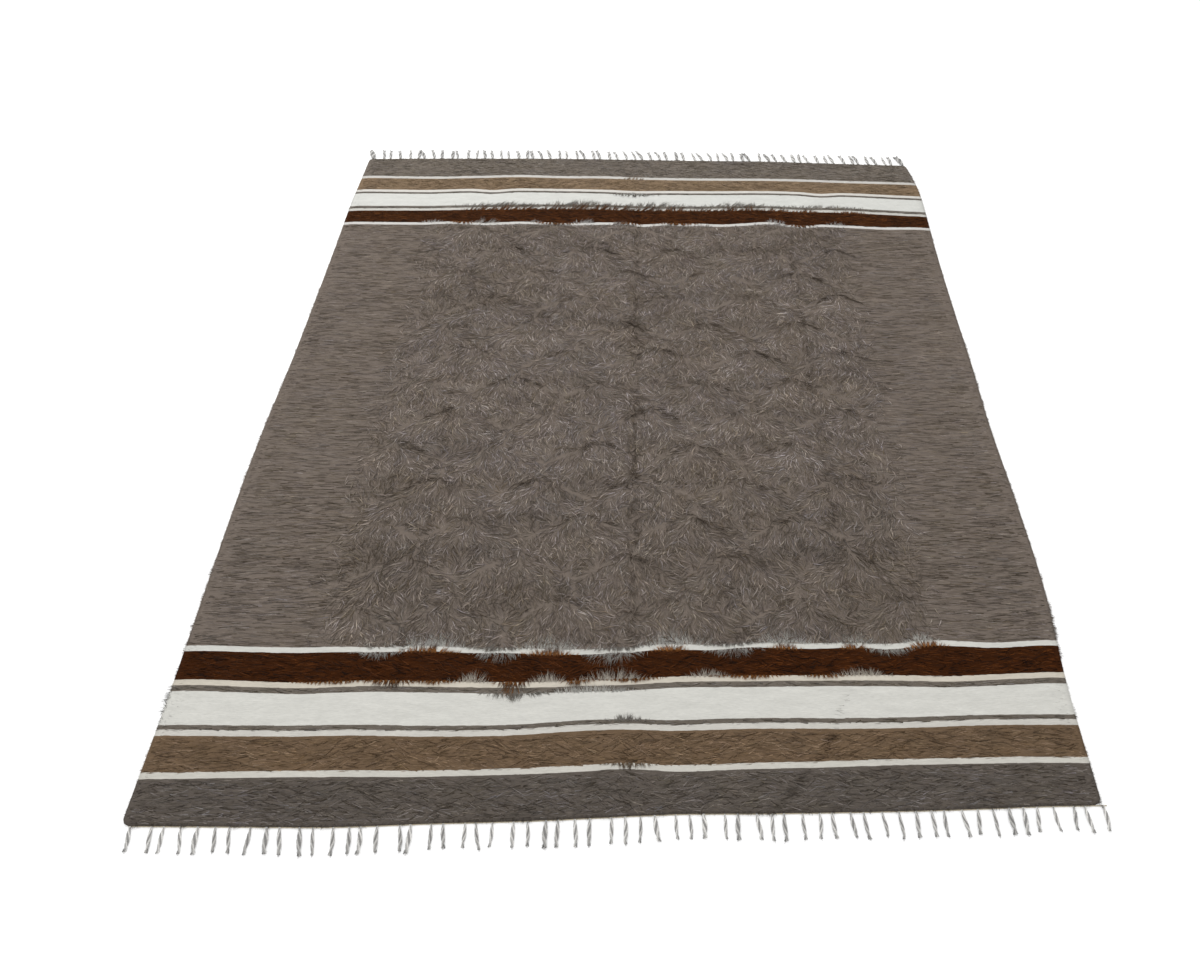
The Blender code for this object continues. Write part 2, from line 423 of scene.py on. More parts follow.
    def stops(self) -> list[tuple[float, str]]:
        """Each colour of the plan with the place where it begins, from the front end to the back end."""
        found = []
        begin = 0.0
        for band in self.bands:
            found.append((begin / self.span, band.front))
            begin = band.reach
        found.append((begin / self.span, self.field_colour))
        return found + [(1 - band.reach / self.span, band.back) for band in reversed(self.bands)]

    def colours(self, place: Array) -> Array:
        """The wool's linear colour at places on the plan."""
        stops = self.stops()
        index = np.searchsorted([s[0] for s in stops], place, side="right") - 1
        return np.array([linear(s[1]) for s in stops])[np.clip(index, 0, len(stops) - 1)]

    def wool(self, x: Array, y: Array) -> Array:
        """The wool's linear colour at points on the cloth."""
        return self.colours(self.place(x, y))


@dataclass(frozen=True)
class PartingRow:
    """How open the left and right arm of each lobe's parting is, from the leftmost lobe onwards."""

    row: int
    first_lobe: int
    left: tuple[float, ...]
    right: tuple[float, ...]


@dataclass(frozen=True)
class CreaseKnot:
    """A tousled knot of hair on the middle crease, and how strong it is: how far its hair turns and how dark
    its painted shade lies.
    """

    along: float
    strength: float


@dataclass(frozen=True)
class Brushwork:
    """The brushed middle of the blanket: staggered lobes of pile, each fanned out below its parting."""

    outline: Outline
    side_margin: float = 0.29
    band_depth: float = 0.405
    lobe_pitch: float = 0.256
    row_pitch: float = 0.1256
    first_row: float = 0.691
    row_count: int = 15
    row_drift: float = 0.0119
    lobe_centre: float = 0.119
    lobe_wander: float = 0.008
    parting_slope: float = 0.62
    arm_reach: float = 0.085
    long_creases: tuple[float, ...] = (-0.488, 0.005, 0.493)
    cross_creases: tuple[float, ...] = (-0.590, 0.040)
    wrinkle: tuple[Pair, ...] = (
        (0.290, -1.225), (0.304, -1.201), (0.360, -1.127), (0.410, -1.072), (0.454, -0.966), (0.500, -0.900)
    )
    knots: tuple[CreaseKnot, ...] = (
        CreaseKnot(0.61, 0.4),
        CreaseKnot(0.43, 0.5),
        CreaseKnot(0.14, 0.6),
        CreaseKnot(-0.08, 0.8),
        CreaseKnot(-0.31, 1.0),
        CreaseKnot(-0.57, 0.6),
        CreaseKnot(-0.74, 0.5),
    )
    partings: tuple[PartingRow, ...] = (
        PartingRow(-1, -2, (0.3, 0.2, 0.2, 0.3, 0.3), (0.5, 0.2, 0.3, 0.3, 0.3)),
        PartingRow(0, -2, (0.3, 0.3, 0.7, 0.2, 0.3), (1.0, 1.0, 0.6, 0.8, 0.8)),
        PartingRow(1, -2, (0.2, 0.4, 0.7, 0.8), (0.3, 0.9, 0.2, 1.0)),
        PartingRow(2, -2, (0.6, 0.6, 0.7, 0.6, 0.9), (0.7, 0.2, 0.4, 0.2, 1.0)),
        PartingRow(3, -2, (0.5, 0.3, 0.8, 0.6), (0.2, 1.0, 0.5, 0.8)),
        PartingRow(4, -2, (0.2, 0.6, 0.8, 0.5, 0.4), (0.3, 0.3, 0.9, 1.0, 1.0)),
        PartingRow(5, -2, (0.8, 0.6, 0.6, 0.9), (0.9, 0.3, 0.9, 0.8)),
        PartingRow(6, -2, (1.0, 0.3, 1.0, 0.4, 0.3), (0.3, 0.2, 0.9, 0.3, 0.8)),
        PartingRow(7, -3, (0.2, 0.3, 0.8, 0.6, 1.0), (0.9, 0.3, 0.6, 0.7, 0.3)),
        PartingRow(8, -2, (0.9, 0.8, 0.9, 0.3, 0.3), (0.9, 0.4, 0.4, 0.7, 0.8)),
        PartingRow(9, -2, (0.2, 0.5, 0.3, 0.8), (0.4, 0.6, 1.0, 0.3)),
        PartingRow(10, -2, (0.5, 0.4, 0.3, 0.3, 0.4), (0.5, 0.3, 0.8, 0.4, 0.9)),
        PartingRow(11, -2, (0.3, 0.4, 0.3, 0.5, 0.6), (0.3, 0.6, 0.3, 0.4, 0.3)),
        PartingRow(12, -2, (0.3, 0.4, 0.3, 0.4, 0.5), (0.3, 0.4, 0.4, 0.3, 0.5)),
    )

    @property
    def middle_crease(self) -> float:
        """Where the middle one of the lengthwise creases lies across."""
        return self.long_creases[1]

    def lobes(self) -> Array:
        """Each lobe's top across and along, and how open the left and right arms of its parting are."""
        chance = random.Random(3)
        openings = {row.row: row for row in self.partings}
        found = []
        for row in range(-1, self.row_count):
            along = self.first_row - row * self.row_pitch
            start = self.lobe_centre - row * self.row_drift + (row % 2) * self.lobe_pitch / 2
            for column in range(-4, 4):
                across = start + column * self.lobe_pitch
                across += chance.uniform(-self.lobe_wander, self.lobe_wander)
                if abs(across) >= self.outline.width / 2 - self.side_margin:
                    continue
                left = right = 0.3
                known = openings.get(row)
                if known and 0 <= column - known.first_lobe < len(known.left):
                    left = known.left[column - known.first_lobe]
                    right = known.right[column - known.first_lobe]
                top = along + chance.uniform(-self.lobe_wander, self.lobe_wander)
                found.append((across, top, left, right))
        return np.array(found)

    def brushed(self, x: Array, y: Array) -> Array:
        """From 0 in the plain side margins to 1 in the brushed middle."""
        return smooth_step((self.outline.to_side(x, y) - self.side_margin + 0.05) / 0.13)

    def nearest(self, x: Array, y: Array) -> tuple[Array, Array, Array]:
        """Finds the lobe that each point's pile belongs to.

        Args:
            x: points across.
            y: points along.

        Returns:
            The lobe's number, the distance below its parting, and the distance sideways from its top.
        """
        tops = self.lobes()
        lobe = np.full(len(x), -1)
        below = np.full(len(x), np.inf)
        aside = np.zeros(len(x))
        for k, (top_x, top_y, _, _) in enumerate(tops):
            sideways = x - top_x
            down = top_y - y - self.parting_slope * np.abs(sideways)
            better = (np.abs(sideways) < 0.6 * self.lobe_pitch) & (down > 0) & (down < below)
            lobe[better] = k
            below[better] = down[better]
            aside[better] = sideways[better]
        return lobe, below, aside

    def wrinkle_depth(self, x: Array, y: Array, half_width: float) -> Array:
        """How deep points lie in the slanting wrinkle at the front, from 0 beside it to 1 on its line."""
        across, along = np.array(self.wrinkle).T
        aside = (x - np.interp(y, along, across)) / half_width
        ends = smooth_step((y - along[0]) / 0.03) * smooth_step((along[-1] - y) / 0.10)
        return ends * np.exp(-(aside**2))

    def crease_depth(self, x: Array, y: Array, half_width: float) -> Array:
        """How deep in a fold crease points lie, from 0 beside it to 1 along its line."""
        depth = np.zeros(len(x))
        for crease in self.long_creases:
            depth = np.maximum(depth, 1 - np.abs(x - crease) / half_width)
        in_margin = smooth_step((np.abs(x) - 0.5) / 0.15)
        for crease in self.cross_creases:
            depth = np.maximum(depth, 0.5 * in_margin * (1 - np.abs(y - crease) / half_width))
        return np.clip(depth, 0.0, 1.0)


@dataclass(frozen=True)
class Relief:
    """The height of the cloth's upper face, under the loose hair."""

    outline: Outline
    brushwork: Brushwork
    rim: float = 0.0032
    margin: float = 0.0050
    middle: float = 0.0062
    lobe_rise: float = 0.0030
    lobe_fall_off: float = 0.085
    crease: float = 0.0022
    crease_half_width: float = 0.016
    crease_in_bands: float = 0.05
    wrinkle: float = 0.0014
    wrinkle_half_width: float = 0.014
    waviness: float = 0.0004
    rim_rounding: float = 0.030

    def height(self, x: Array, y: Array) -> Array:
        """The height above the ground at points on the cloth."""
        brushed = self.brushwork.brushed(x, y)
        _, below, aside = self.brushwork.nearest(x, y)
        below = np.minimum(below, 1.0)
        rise = smooth_step(below / 0.03) * np.exp(-((below / self.lobe_fall_off) ** 2))
        rise *= np.clip(1 - (2 * aside / self.brushwork.lobe_pitch) ** 2, 0.0, 1.0)
        to_end = self.outline.to_nearer_end(x, y)
        in_field = smooth_step((to_end - self.brushwork.band_depth + 0.08) / 0.05)
        full = self.margin + (self.middle - self.margin) * brushed
        full += in_field * brushed * self.lobe_rise * rise
        full += self.waviness * np.sin(9.0 * x + 2.0) * np.sin(7.0 * y + 1.0)
        crease = self.crease * (self.crease_in_bands + (1 - self.crease_in_bands) * in_field)
        full -= crease * self.brushwork.crease_depth(x, y, self.crease_half_width)
        full -= self.wrinkle * self.brushwork.wrinkle_depth(x, y, self.wrinkle_half_width)
        edge = smooth_step(np.minimum(self.outline.to_side(x, y), to_end) / self.rim_rounding)
        return self.rim + (full - self.rim) * edge


class HeightMap:
    """The relief sampled once on a fine grid, so that a lock's points read it quickly."""

    def __init__(self, relief: Relief, step: float = 0.005) -> None:
        """Samples the relief over the whole blanket."""
        self.step = step
        self.low = np.array([-1.02, -1.30])
        columns = int(2.04 / step) + 1
        rows = int(2.60 / step) + 1
        xs = self.low[0] + np.arange(columns) * step
        ys = self.low[1] + np.arange(rows) * step
        grid_x, grid_y = np.meshgrid(xs, ys, indexing="ij")
        self.values = relief.height(grid_x.ravel(), grid_y.ravel()).reshape(columns, rows)

    def __call__(self, x: Array, y: Array) -> Array:
        """Reads the relief between the samples."""
        u = np.clip((x - self.low[0]) / self.step, 0, self.values.shape[0] - 1.001)
        v = np.clip((y - self.low[1]) / self.step, 0, self.values.shape[1] - 1.001)
        i, j = u.astype(int), v.astype(int)
        s, t = u - i, v - j
        near = self.values[i, j] * (1 - s) + self.values[i + 1, j] * s
        far = self.values[i, j + 1] * (1 - s) + self.values[i + 1, j + 1] * s
        return near * (1 - t) + far * t


def swing(grain: Grain, x: Array, y: Array, cells: float) -> Array:
    """Noise from -0.5 to 0.5, with so many cells to the metre."""
    return ValueNoise(grain)(x * cells, y * cells) - 0.5


def deselect_all() -> None:
    """Leaves edit mode and clears the selection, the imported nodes' too."""
    if bpy.context.object and bpy.context.object.mode != "OBJECT":
        bpy.ops.object.mode_set(mode="OBJECT")
    bpy.ops.object.select_all(action="DESELECT")


def edit_all(item: bpy.types.Object) -> None:
    """Opens one object in edit mode, with its whole mesh selected."""
    deselect_all()
    item.select_set(True)
    bpy.context.view_layer.objects.active = item
    bpy.ops.object.mode_set(mode="EDIT")
    bpy.ops.mesh.select_all(action="SELECT")


def face_outwards() -> None:
    """Turns the faces of the edited mesh outwards and leaves edit mode."""
    bpy.ops.mesh.select_all(action="SELECT")
    bpy.ops.mesh.normals_make_consistent(inside=False)
    bpy.ops.object.mode_set(mode="OBJECT")


def cut_across(item: bpy.types.Object, heights: list[float]) -> None:
    """Opens one object in edit mode and cuts its whole mesh across at each height."""
    edit_all(item)
    for height in heights:
        bpy.ops.mesh.select_all(action="SELECT")
        bpy.ops.mesh.bisect(plane_co=(0, 0, height), plane_no=(0, 0, 1))
    bpy.ops.mesh.select_all(action="SELECT")


def take_mesh(item: bpy.types.Object) -> tuple[Array, list[tuple[int, ...]]]:
    """Takes the points and faces of a modelled shape, and clears the shape away."""
    bpy.ops.object.mode_set(mode="OBJECT")
    mesh = item.data
    points = np.array([tuple(v.co) for v in mesh.vertices])
    faces = [tuple(p.vertices) for p in mesh.polygons]
    bpy.data.objects.remove(item, do_unlink=True)
    bpy.data.meshes.remove(mesh)
    return points, faces


def add_grid(name: str, columns: int, rows: int) -> tuple[bpy.types.Object, Array, Array]:
    """Adds a flat grid that is to be drawn into a shape.

    Args:
        name: the object's name.
        columns: its cells across.
        rows: its cells along.

    Returns:
        The object, and where each point lies across and along, from -0.5 to 0.5.
    """
    deselect_all()
    bpy.ops.mesh.primitive_grid_add(x_subdivisions=columns, y_subdivisions=rows, size=1.0)
    item = bpy.context.object
    item.name = name
    flat = np.zeros(len(item.data.vertices) * 3)
    item.data.vertices.foreach_get("co", flat)
    u, v, _ = flat.reshape(-1, 3).T
    return item, u, v


def add_object(name: str, data: bpy.types.ID) -> bpy.types.Object:
    """Puts a mesh, a camera or a light into the scene."""
    item = bpy.data.objects.new(name, data)
    bpy.context.scene.collection.objects.link(item)
    return item


def paint(mesh: bpy.types.Mesh, colours: Array) -> None:
    """Gives every point of a mesh its own colour."""
    rgba = np.ones((len(mesh.vertices), 4), np.float32)
    rgba[:, :3] = colours
    mesh.attributes.new("hair", "FLOAT_COLOR", "POINT").data.foreach_set("color", rgba.ravel())


class Nodes:
    """A short hand for building one material's nodes."""

    def __init__(self, name: str) -> None:
        """Makes a material with an empty Principled shader."""
        self.material = bpy.data.materials.new(name)
        self.material.use_nodes = True
        self.tree = self.material.node_tree
        self.shader = self.tree.nodes["Principled BSDF"]

    def fill(self, node: bpy.types.Node, inputs: dict[str | int, object]) -> None:
        """Joins each input that is given a socket, and sets each one that is given a number."""
        for key, value in inputs.items():
            if isinstance(value, bpy.types.NodeSocket):
                self.tree.links.new(value, node.inputs[key])
            else:
                node.inputs[key].default_value = value

    def add(self, kind: str, inputs: dict[str | int, object], **settings: object) -> bpy.types.Node:
        """Adds a node, then sets its properties and its inputs."""
        node = self.tree.nodes.new(kind)
        for key, value in settings.items():
            setattr(node, key, value)
        self.fill(node, inputs)
        return node

    def attribute(self, name: str, output: str) -> bpy.types.NodeSocket:
        """Reads one of the mesh's attributes."""
        return self.add("ShaderNodeAttribute", {}, attribute_name=name).outputs[output]

    def noise(
        self, stretch: tuple[float, float, float], detail: float, place: bpy.types.NodeSocket | None = None
    ) -> bpy.types.NodeSocket:
        """Noise over the object's own coordinates, or over a place given, stretched along each axis."""
        place = place or self.add("ShaderNodeTexCoord", {}).outputs["Object"]
        mapping = self.add("ShaderNodeMapping", {"Vector": place, "Scale": stretch})
        inputs = {"Vector": mapping.outputs["Vector"], "Scale": 1.0, "Detail": detail}
        return self.add("ShaderNodeTexNoise", inputs).outputs["Fac"]

    def math(self, operation: str, first: object, second: object) -> bpy.types.NodeSocket:
        """A sum, product or other step on two values, each a socket or a number."""
        return self.add("ShaderNodeMath", {0: first, 1: second}, operation=operation).outputs["Value"]

    def span(self, value: bpy.types.NodeSocket, low: float, high: float) -> bpy.types.NodeSocket:
        """Carries a value from 0 to 1 onto a new range."""
        inputs = {"Value": value, "To Min": low, "To Max": high}
        return self.add("ShaderNodeMapRange", inputs).outputs["Result"]

    def paleness(self, colour: bpy.types.NodeSocket) -> bpy.types.NodeSocket:
        """How pale a colour is, from 0 to 1."""
        return self.add("ShaderNodeRGBToBW", {"Color": colour}).outputs["Val"]

    def tinted(self, colour: bpy.types.NodeSocket, strength: bpy.types.NodeSocket) -> bpy.types.NodeSocket:
        """Multiplies a colour by a value."""
        inputs = {"Vector": colour, "Scale": strength}
        return self.add("ShaderNodeVectorMath", inputs, operation="SCALE").outputs["Vector"]

    def bump(self, height: bpy.types.NodeSocket, distance: float, strength: float) -> None:
        """Feeds a height to the shader's normal."""
        inputs = {"Height": height, "Distance": distance, "Strength": strength}
        self.fill(self.shader, {"Normal": self.add("ShaderNodeBump", inputs).outputs["Normal"]})

    def surface(self, colour: object, roughness: float, specular: float = 0.04, sheen: float = 0.0) -> None:
        """Sets the shader's colour and the plain numbers of a matt surface."""
        self.fill(self.shader, {
            "Base Color": colour, "Roughness": roughness, "Specular IOR Level": specular,
            "Sheen Weight": sheen, "Sheen Roughness": 0.5,
        })


@dataclass(frozen=True)
class GroundFinish:
    """The woven ground under the pile, in its banded wools."""

    plan: BandPlan
    streak_stretch: tuple[float, float, float] = (40.0, 420.0, 40.0)
    fine_stretch: tuple[float, float, float] = (90.0, 900.0, 90.0)
    blotch_stretch: tuple[float, float, float] = (14.0, 60.0, 14.0)
    line_wander: float = 0.004
    # Painted shade of the pile over the ground, on the darkest and on the palest wool
    dark_painted_shade: float = 0.60
    pale_painted_shade: float = 1.35

    def material(self) -> bpy.types.Material:
        """Builds the finish: the plan of bands, fine combed streaks, a low weave and the painted shade of the
        pile over the ground, deepest on dark wool.
        """
        nodes = Nodes("banded_ground")
        place = nodes.attribute("band_place", "Fac")
        streaks = nodes.noise(self.streak_stretch, 4.0)
        wander = nodes.math("MULTIPLY", nodes.math("SUBTRACT", streaks, 0.5), self.line_wander)
        ramp = nodes.add("ShaderNodeValToRGB", {"Fac": nodes.math("ADD", place, wander)})
        ramp.color_ramp.interpolation = "CONSTANT"
        stops = self.plan.stops()
        elements = ramp.color_ramp.elements
        elements[-1].position = stops[-1][0]
        for position, _ in stops[1:-1]:
            elements.new(position)
        for element, (_, colour) in zip(elements, stops):
            element.color = (*linear(colour), 1.0)
        wool = ramp.outputs["Color"]
        fine = nodes.noise(self.fine_stretch, 2.0)
        blotches = nodes.noise(self.blotch_stretch, 3.0)
        light = nodes.math("MULTIPLY", nodes.span(fine, 0.55, 1.35), nodes.span(blotches, 0.75, 1.25))
        paleness = nodes.paleness(wool)
        contrast = nodes.span(paleness, 1.0, 0.0)
        contrast = nodes.math("MULTIPLY", nodes.math("SUBTRACT", light, 1.0), contrast)
        # Painted shade under the pile: the ground's colour is scaled down most on dark wool and least, or
        # lifted, on pale wool
        depth = nodes.span(paleness, self.dark_painted_shade, self.pale_painted_shade)
        light = nodes.math("MULTIPLY", nodes.math("ADD", contrast, 1.0), depth)
        nodes.surface(nodes.tinted(wool, light), 0.9, sheen=0.01)
        nodes.bump(fine, 0.0012, 0.8)
        return nodes.material


@dataclass(frozen=True)
class PileFinish:
    """Loose hair, in the colour that each lock carries."""

    sheen: float = 0.015
    streaks: float = 0.75
    hairs_across: float = 4.5
    hairs_along: float = 0.9

    def material(self) -> bpy.types.Material:
        """Builds the finish: the lock's own colour with fine hairs drawn along it."""
        nodes = Nodes("brushed_hair")
        colour = nodes.attribute("hair", "Color")
        place = nodes.add("ShaderNodeUVMap", {}, uv_map="OFBake").outputs["UV"]
        stretch = (MAP_COLUMNS * self.hairs_across, MAP_COLUMNS * self.hairs_along, 1.0)
        hairs = nodes.noise(stretch, 1.0, place)
        strength = nodes.math("MULTIPLY", nodes.span(nodes.paleness(colour), self.streaks, 0.0), 2.0)
        contrast = nodes.math("MULTIPLY", nodes.math("SUBTRACT", hairs, 0.5), strength)
        nodes.surface(nodes.tinted(colour, nodes.math("ADD", contrast, 1.0)), 0.75, sheen=self.sheen)
        nodes.bump(hairs, 0.0006, 0.5)
        return nodes.material


@dataclass(frozen=True)
class YarnFinish:
    """Twisted cotton yarn, in the colour that each ply carries."""

    slub_stretch: tuple[float, float, float] = (420.0, 420.0, 420.0)
    slub_tones: Pair = (0.55, 1.40)

    def material(self) -> bpy.types.Material:
        """Builds the finish: the ply's own colour with slubs and short dark flecks."""
        nodes = Nodes("twisted_cotton")
        slubs = nodes.noise(self.slub_stretch, 3.0)
        tones = nodes.span(slubs, *self.slub_tones)
        nodes.surface(nodes.tinted(nodes.attribute("hair", "Color"), tones), 0.85, sheen=0.2)
        nodes.bump(slubs, 0.0006, 0.6)
        return nodes.material


@dataclass
class LockShape:
    """One lock of hair, modelled once along +X at unit length, width and height.

    Each of its rings holds a share of the length and the lock's width there.
    """

    rings: tuple[Pair, ...]
    root_width: float = 0.55
    tip_height: float = 0.35
    vertices: Array = field(init=False)
    triangles: Array = field(init=False)

    def __post_init__(self) -> None:
        """Models the lock from a three-sided cone, cut and swelled at each ring, then keeps its mesh."""
        deselect_all()
        bpy.ops.mesh.primitive_cone_add(
            vertices=3, radius1=0.5, radius2=0.0, depth=1.0, location=(0, 0, 0.5), end_fill_type="NOTHING"
        )
        item = bpy.context.object
        cut_across(item, [share for share, _ in self.rings])
        bpy.ops.mesh.quads_convert_to_tris()
        points, triangles = take_mesh(item)
        widths = {0.0: self.root_width, 1.0: 0.0, **dict(self.rings)}
        shaped = np.zeros_like(points)
        for k, (px, py, pz) in enumerate(points + np.array([0.0, 0.0, 0.5])):
            share = min(widths, key=lambda w: abs(w - pz))
            taper = 0.5 * (1 - pz)
            swell = widths[share] / (2 * taper) if taper > 1e-6 else 0.0
            shaped[k] = (pz, px * swell, py * swell)
        self.vertices = self._on_its_side(shaped)
        self.triangles = np.array(triangles)

    def _on_its_side(self, points: Array) -> Array:
        """Sets the lock's section with one ridge up and its widest side down."""
        turned = points[:, 1:] @ np.array([[0.0, 1.0], [-1.0, 0.0]]).T
        turned[:, 0] /= 2 * np.abs(turned[:, 0]).max()
        low, high = turned[:, 1].min(), turned[:, 1].max()
        turned[:, 1] = (turned[:, 1] - low) / (high - low)
        turned[points[:, 0] > 1 - 1e-6, 1] = self.tip_height
        return np.column_stack([points[:, 0], turned])


@dataclass
class Locks:
    """Many locks of hair, as arrays with one entry for each lock."""

    x: Array
    y: Array
    angle: Array
    bend: Array
    length: Array
    width: Array
    lift: Array
    colour: Array

    def keep(self, held: Array) -> Locks:
        """The locks that a mask holds."""
        return Locks(*(getattr(self, name)[held] for name in self.__dataclass_fields__))

    def tips(self) -> tuple[Array, Array]:
        """Where the locks' tips lie."""
        middle = self.angle + self.bend / 2
        return self.x + self.length * np.cos(middle), self.y + self.length * np.sin(middle)


@dataclass
class LockBuilder:
    """Lays copies of a lock along the cloth and joins them into one mesh."""

    heights: HeightMap
    wool_at: Callable[[Array, Array], Array]
    finish: bpy.types.Material
    thickness: float = 0.55
    pale_flattening: float = 0.75
    tip_blend: float = 0.60
    thin_brown: str = "#9c6a3c"
    brown_blend: float = 0.45
    # Painted shade at each lock's root and painted light at its tip, for dark wool and, milder, for pale wool
    root_shade: float = 0.70
    tip_shade: float = 1.08
    pale_root_shade: float = 0.93
    pale_tip_shade: float = 1.03
    pale_begins: float = 0.24
    pale_full: float = 0.12
    sunk: float = 0.0008
    lowest: float = 0.0002

    def build(self, name: str, shape: LockShape, locks: Locks) -> bpy.types.Object:
        """Builds one piece of pile.

        Args:
            name: the piece's name.
            shape: the lock that is copied.
            locks: where each copy lies and how it is drawn.

        Returns:
            The finished piece.
        """
        count, per_lock = len(locks.x), len(shape.vertices)
        pale = smooth_step((locks.colour.mean(1) - self.pale_begins) / self.pale_full)[:, None]
        x, y, z = self._bent(shape, locks, pale)
        faces = (shape.triangles[None] + (np.arange(count) * per_lock)[:, None, None]).reshape(-1, 3)
        mesh = bpy.data.meshes.new(name)
        mesh.vertices.add(count * per_lock)
        mesh.vertices.foreach_set("co", np.stack([x, y, z], -1).astype(np.float32).ravel())
        mesh.loops.add(len(faces) * 3)
        mesh.loops.foreach_set("vertex_index", faces.astype(np.int32).ravel())
        mesh.polygons.add(len(faces))
        mesh.polygons.foreach_set("loop_start", np.arange(0, len(faces) * 3, 3, dtype=np.int32))
        mesh.update(calc_edges=True)
        paint(mesh, self._colours(shape, locks, pale, x, y))
        self._lay_out(mesh, faces, shape)
        mesh.shade_smooth()
        mesh.materials.append(self.finish)
        LOG.info("%s: %d locks, %d triangles", name, count, len(faces))
        return add_object(name, mesh)

    def _bent(self, shape: LockShape, locks: Locks, pale: Array) -> tuple[Array, ...]:
        """Where each copy's points lie, bent along its own line and laid over the cloth."""
        t, across, up = shape.vertices.T
        turn = locks.angle[:, None] + locks.bend[:, None] * t[None, :]
        run = locks.length[:, None] * t[None, :]
        middle = locks.angle[:, None] + locks.bend[:, None] * t[None, :] / 2
        spread = locks.width[:, None] * across[None, :]
        x = locks.x[:, None] + run * np.cos(middle) - np.sin(turn) * spread
        y = locks.y[:, None] + run * np.sin(middle) + np.cos(turn) * spread
        ground = self.heights(x.ravel(), y.ravel()).reshape(x.shape)
        arch = locks.lift[:, None] * np.sin(np.pi * np.minimum(t * 0.75, 1.0))[None, :]
        thickness = locks.width[:, None] * (1 - self.pale_flattening * pale) * self.thickness
        return x, y, np.maximum(ground - self.sunk + arch + thickness * up[None, :], self.lowest)

    def _colours(
        self, shape: LockShape, locks: Locks, pale: Array, x: Array, y: Array
    ) -> Array:
        """Each point's colour: the lock's own, with painted shade at its root and painted light at its tip,
        and thin at its tip over the wool below.
        """
        t = shape.vertices[:, 0]
        # Painted shade at the root, rising to painted light at the tip
        root = self.root_shade + (self.pale_root_shade - self.root_shade) * pale
        tip = self.tip_shade + (self.pale_tip_shade - self.tip_shade) * pale
        shade = root + (tip - root) * t[None, :]
        under = self.wool_at(x.ravel(), y.ravel()).reshape(*x.shape, 3)
        own = self.wool_at(locks.x, locks.y)
        light = (locks.colour / np.maximum(own, 1e-4)).mean(1)[:, None, None]
        thin = (self.tip_blend * t**1.5)[None, :, None]
        brown_over_white = ((own.mean(1) < DARK_WOOL)[:, None] & (under.mean(2) > PALE_WOOL))[:, :, None]
        under = np.where(brown_over_white, linear(self.thin_brown), under)
        thin = np.where(brown_over_white, self.brown_blend * np.sqrt(t)[None, :, None], thin)
        colour = (locks.colour[:, None, :] * (1 - thin) + under * light * thin) * shade[:, :, None]
        return np.clip(colour.reshape(-1, 3), 0.0, 1.0)

    def _lay_out(self, mesh: bpy.types.Mesh, faces: Array, shape: LockShape) -> None:
        """Gives each lock its own small cell of the piece's map."""
        t, across, _ = shape.vertices.T
        cell = 1.0 / MAP_COLUMNS
        number, local = np.divmod(faces.ravel(), len(t))
        u = (number % MAP_COLUMNS + 0.5 + 0.8 * across[local]) * cell
        v = (number // MAP_COLUMNS + 0.1 + 0.8 * t[local]) * cell
        layer = mesh.uv_layers.new(name="OFBake")
        layer.data.foreach_set("uv", np.column_stack([u, v]).astype(np.float32).ravel())


@dataclass
class Ground:
    """The woven cloth itself, a thin sheet with a flat underside."""

    outline: Outline
    plan: BandPlan
    relief: Relief
    across_cells: int = 158
    along_cells: int = 203

    def build(self) -> bpy.types.Object:
        """Builds the sheet: a grid drawn to the outline, raised to the relief and closed below."""
        item, u, v = add_grid("woven_ground", self.across_cells, self.along_cells)
        mesh = item.data
        along = v * self.outline.length
        left = self.outline.side_edge(Side.LEFT, along)
        right = self.outline.side_edge(Side.RIGHT, along)
        x = left + (right - left) * (u + 0.5)
        front = self.outline.end_edge(End.FRONT, x)
        back = self.outline.end_edge(End.BACK, x)
        y = front + (back - front) * (v + 0.5)
        z = self.relief.height(x, y)
        place = self.plan.place(x, y)
        x, y = self.outline.round_corners(x, y)
        mesh.vertices.foreach_set("co", np.column_stack([x, y, z]).ravel())
        mesh.attributes.new("band_place", "FLOAT", "POINT").data.foreach_set("value", place)
        self._close_below()
        mesh.shade_smooth()
        mesh.materials.append(GroundFinish(self.plan).material())
        LOG.info("%s: %d faces", item.name, len(mesh.polygons))
        return item

    def _close_below(self) -> None:
        """Draws the rim down to the ground and fills the flat underside."""
        bpy.ops.object.mode_set(mode="EDIT")
        bpy.ops.mesh.select_mode(type="EDGE")
        bpy.ops.mesh.select_all(action="DESELECT")
        bpy.ops.mesh.select_non_manifold()
        bpy.ops.mesh.extrude_region_move()
        bpy.ops.transform.resize(value=(1, 1, 0), center_override=(0, 0, 0))
        bpy.ops.mesh.edge_face_add()
        bpy.ops.mesh.region_to_loop()
        bpy.ops.mesh.mark_sharp()
        face_outwards()


@dataclass(frozen=True)
class FeatheredLine:
    """Fine tips that lie over the line where one band ends, towards the field or away from it.

    Each feather holds its place across, its spread and its reach.
    """

    end: End
    band: str
    inward: int
    feathers: tuple[tuple[float, float, float], ...]


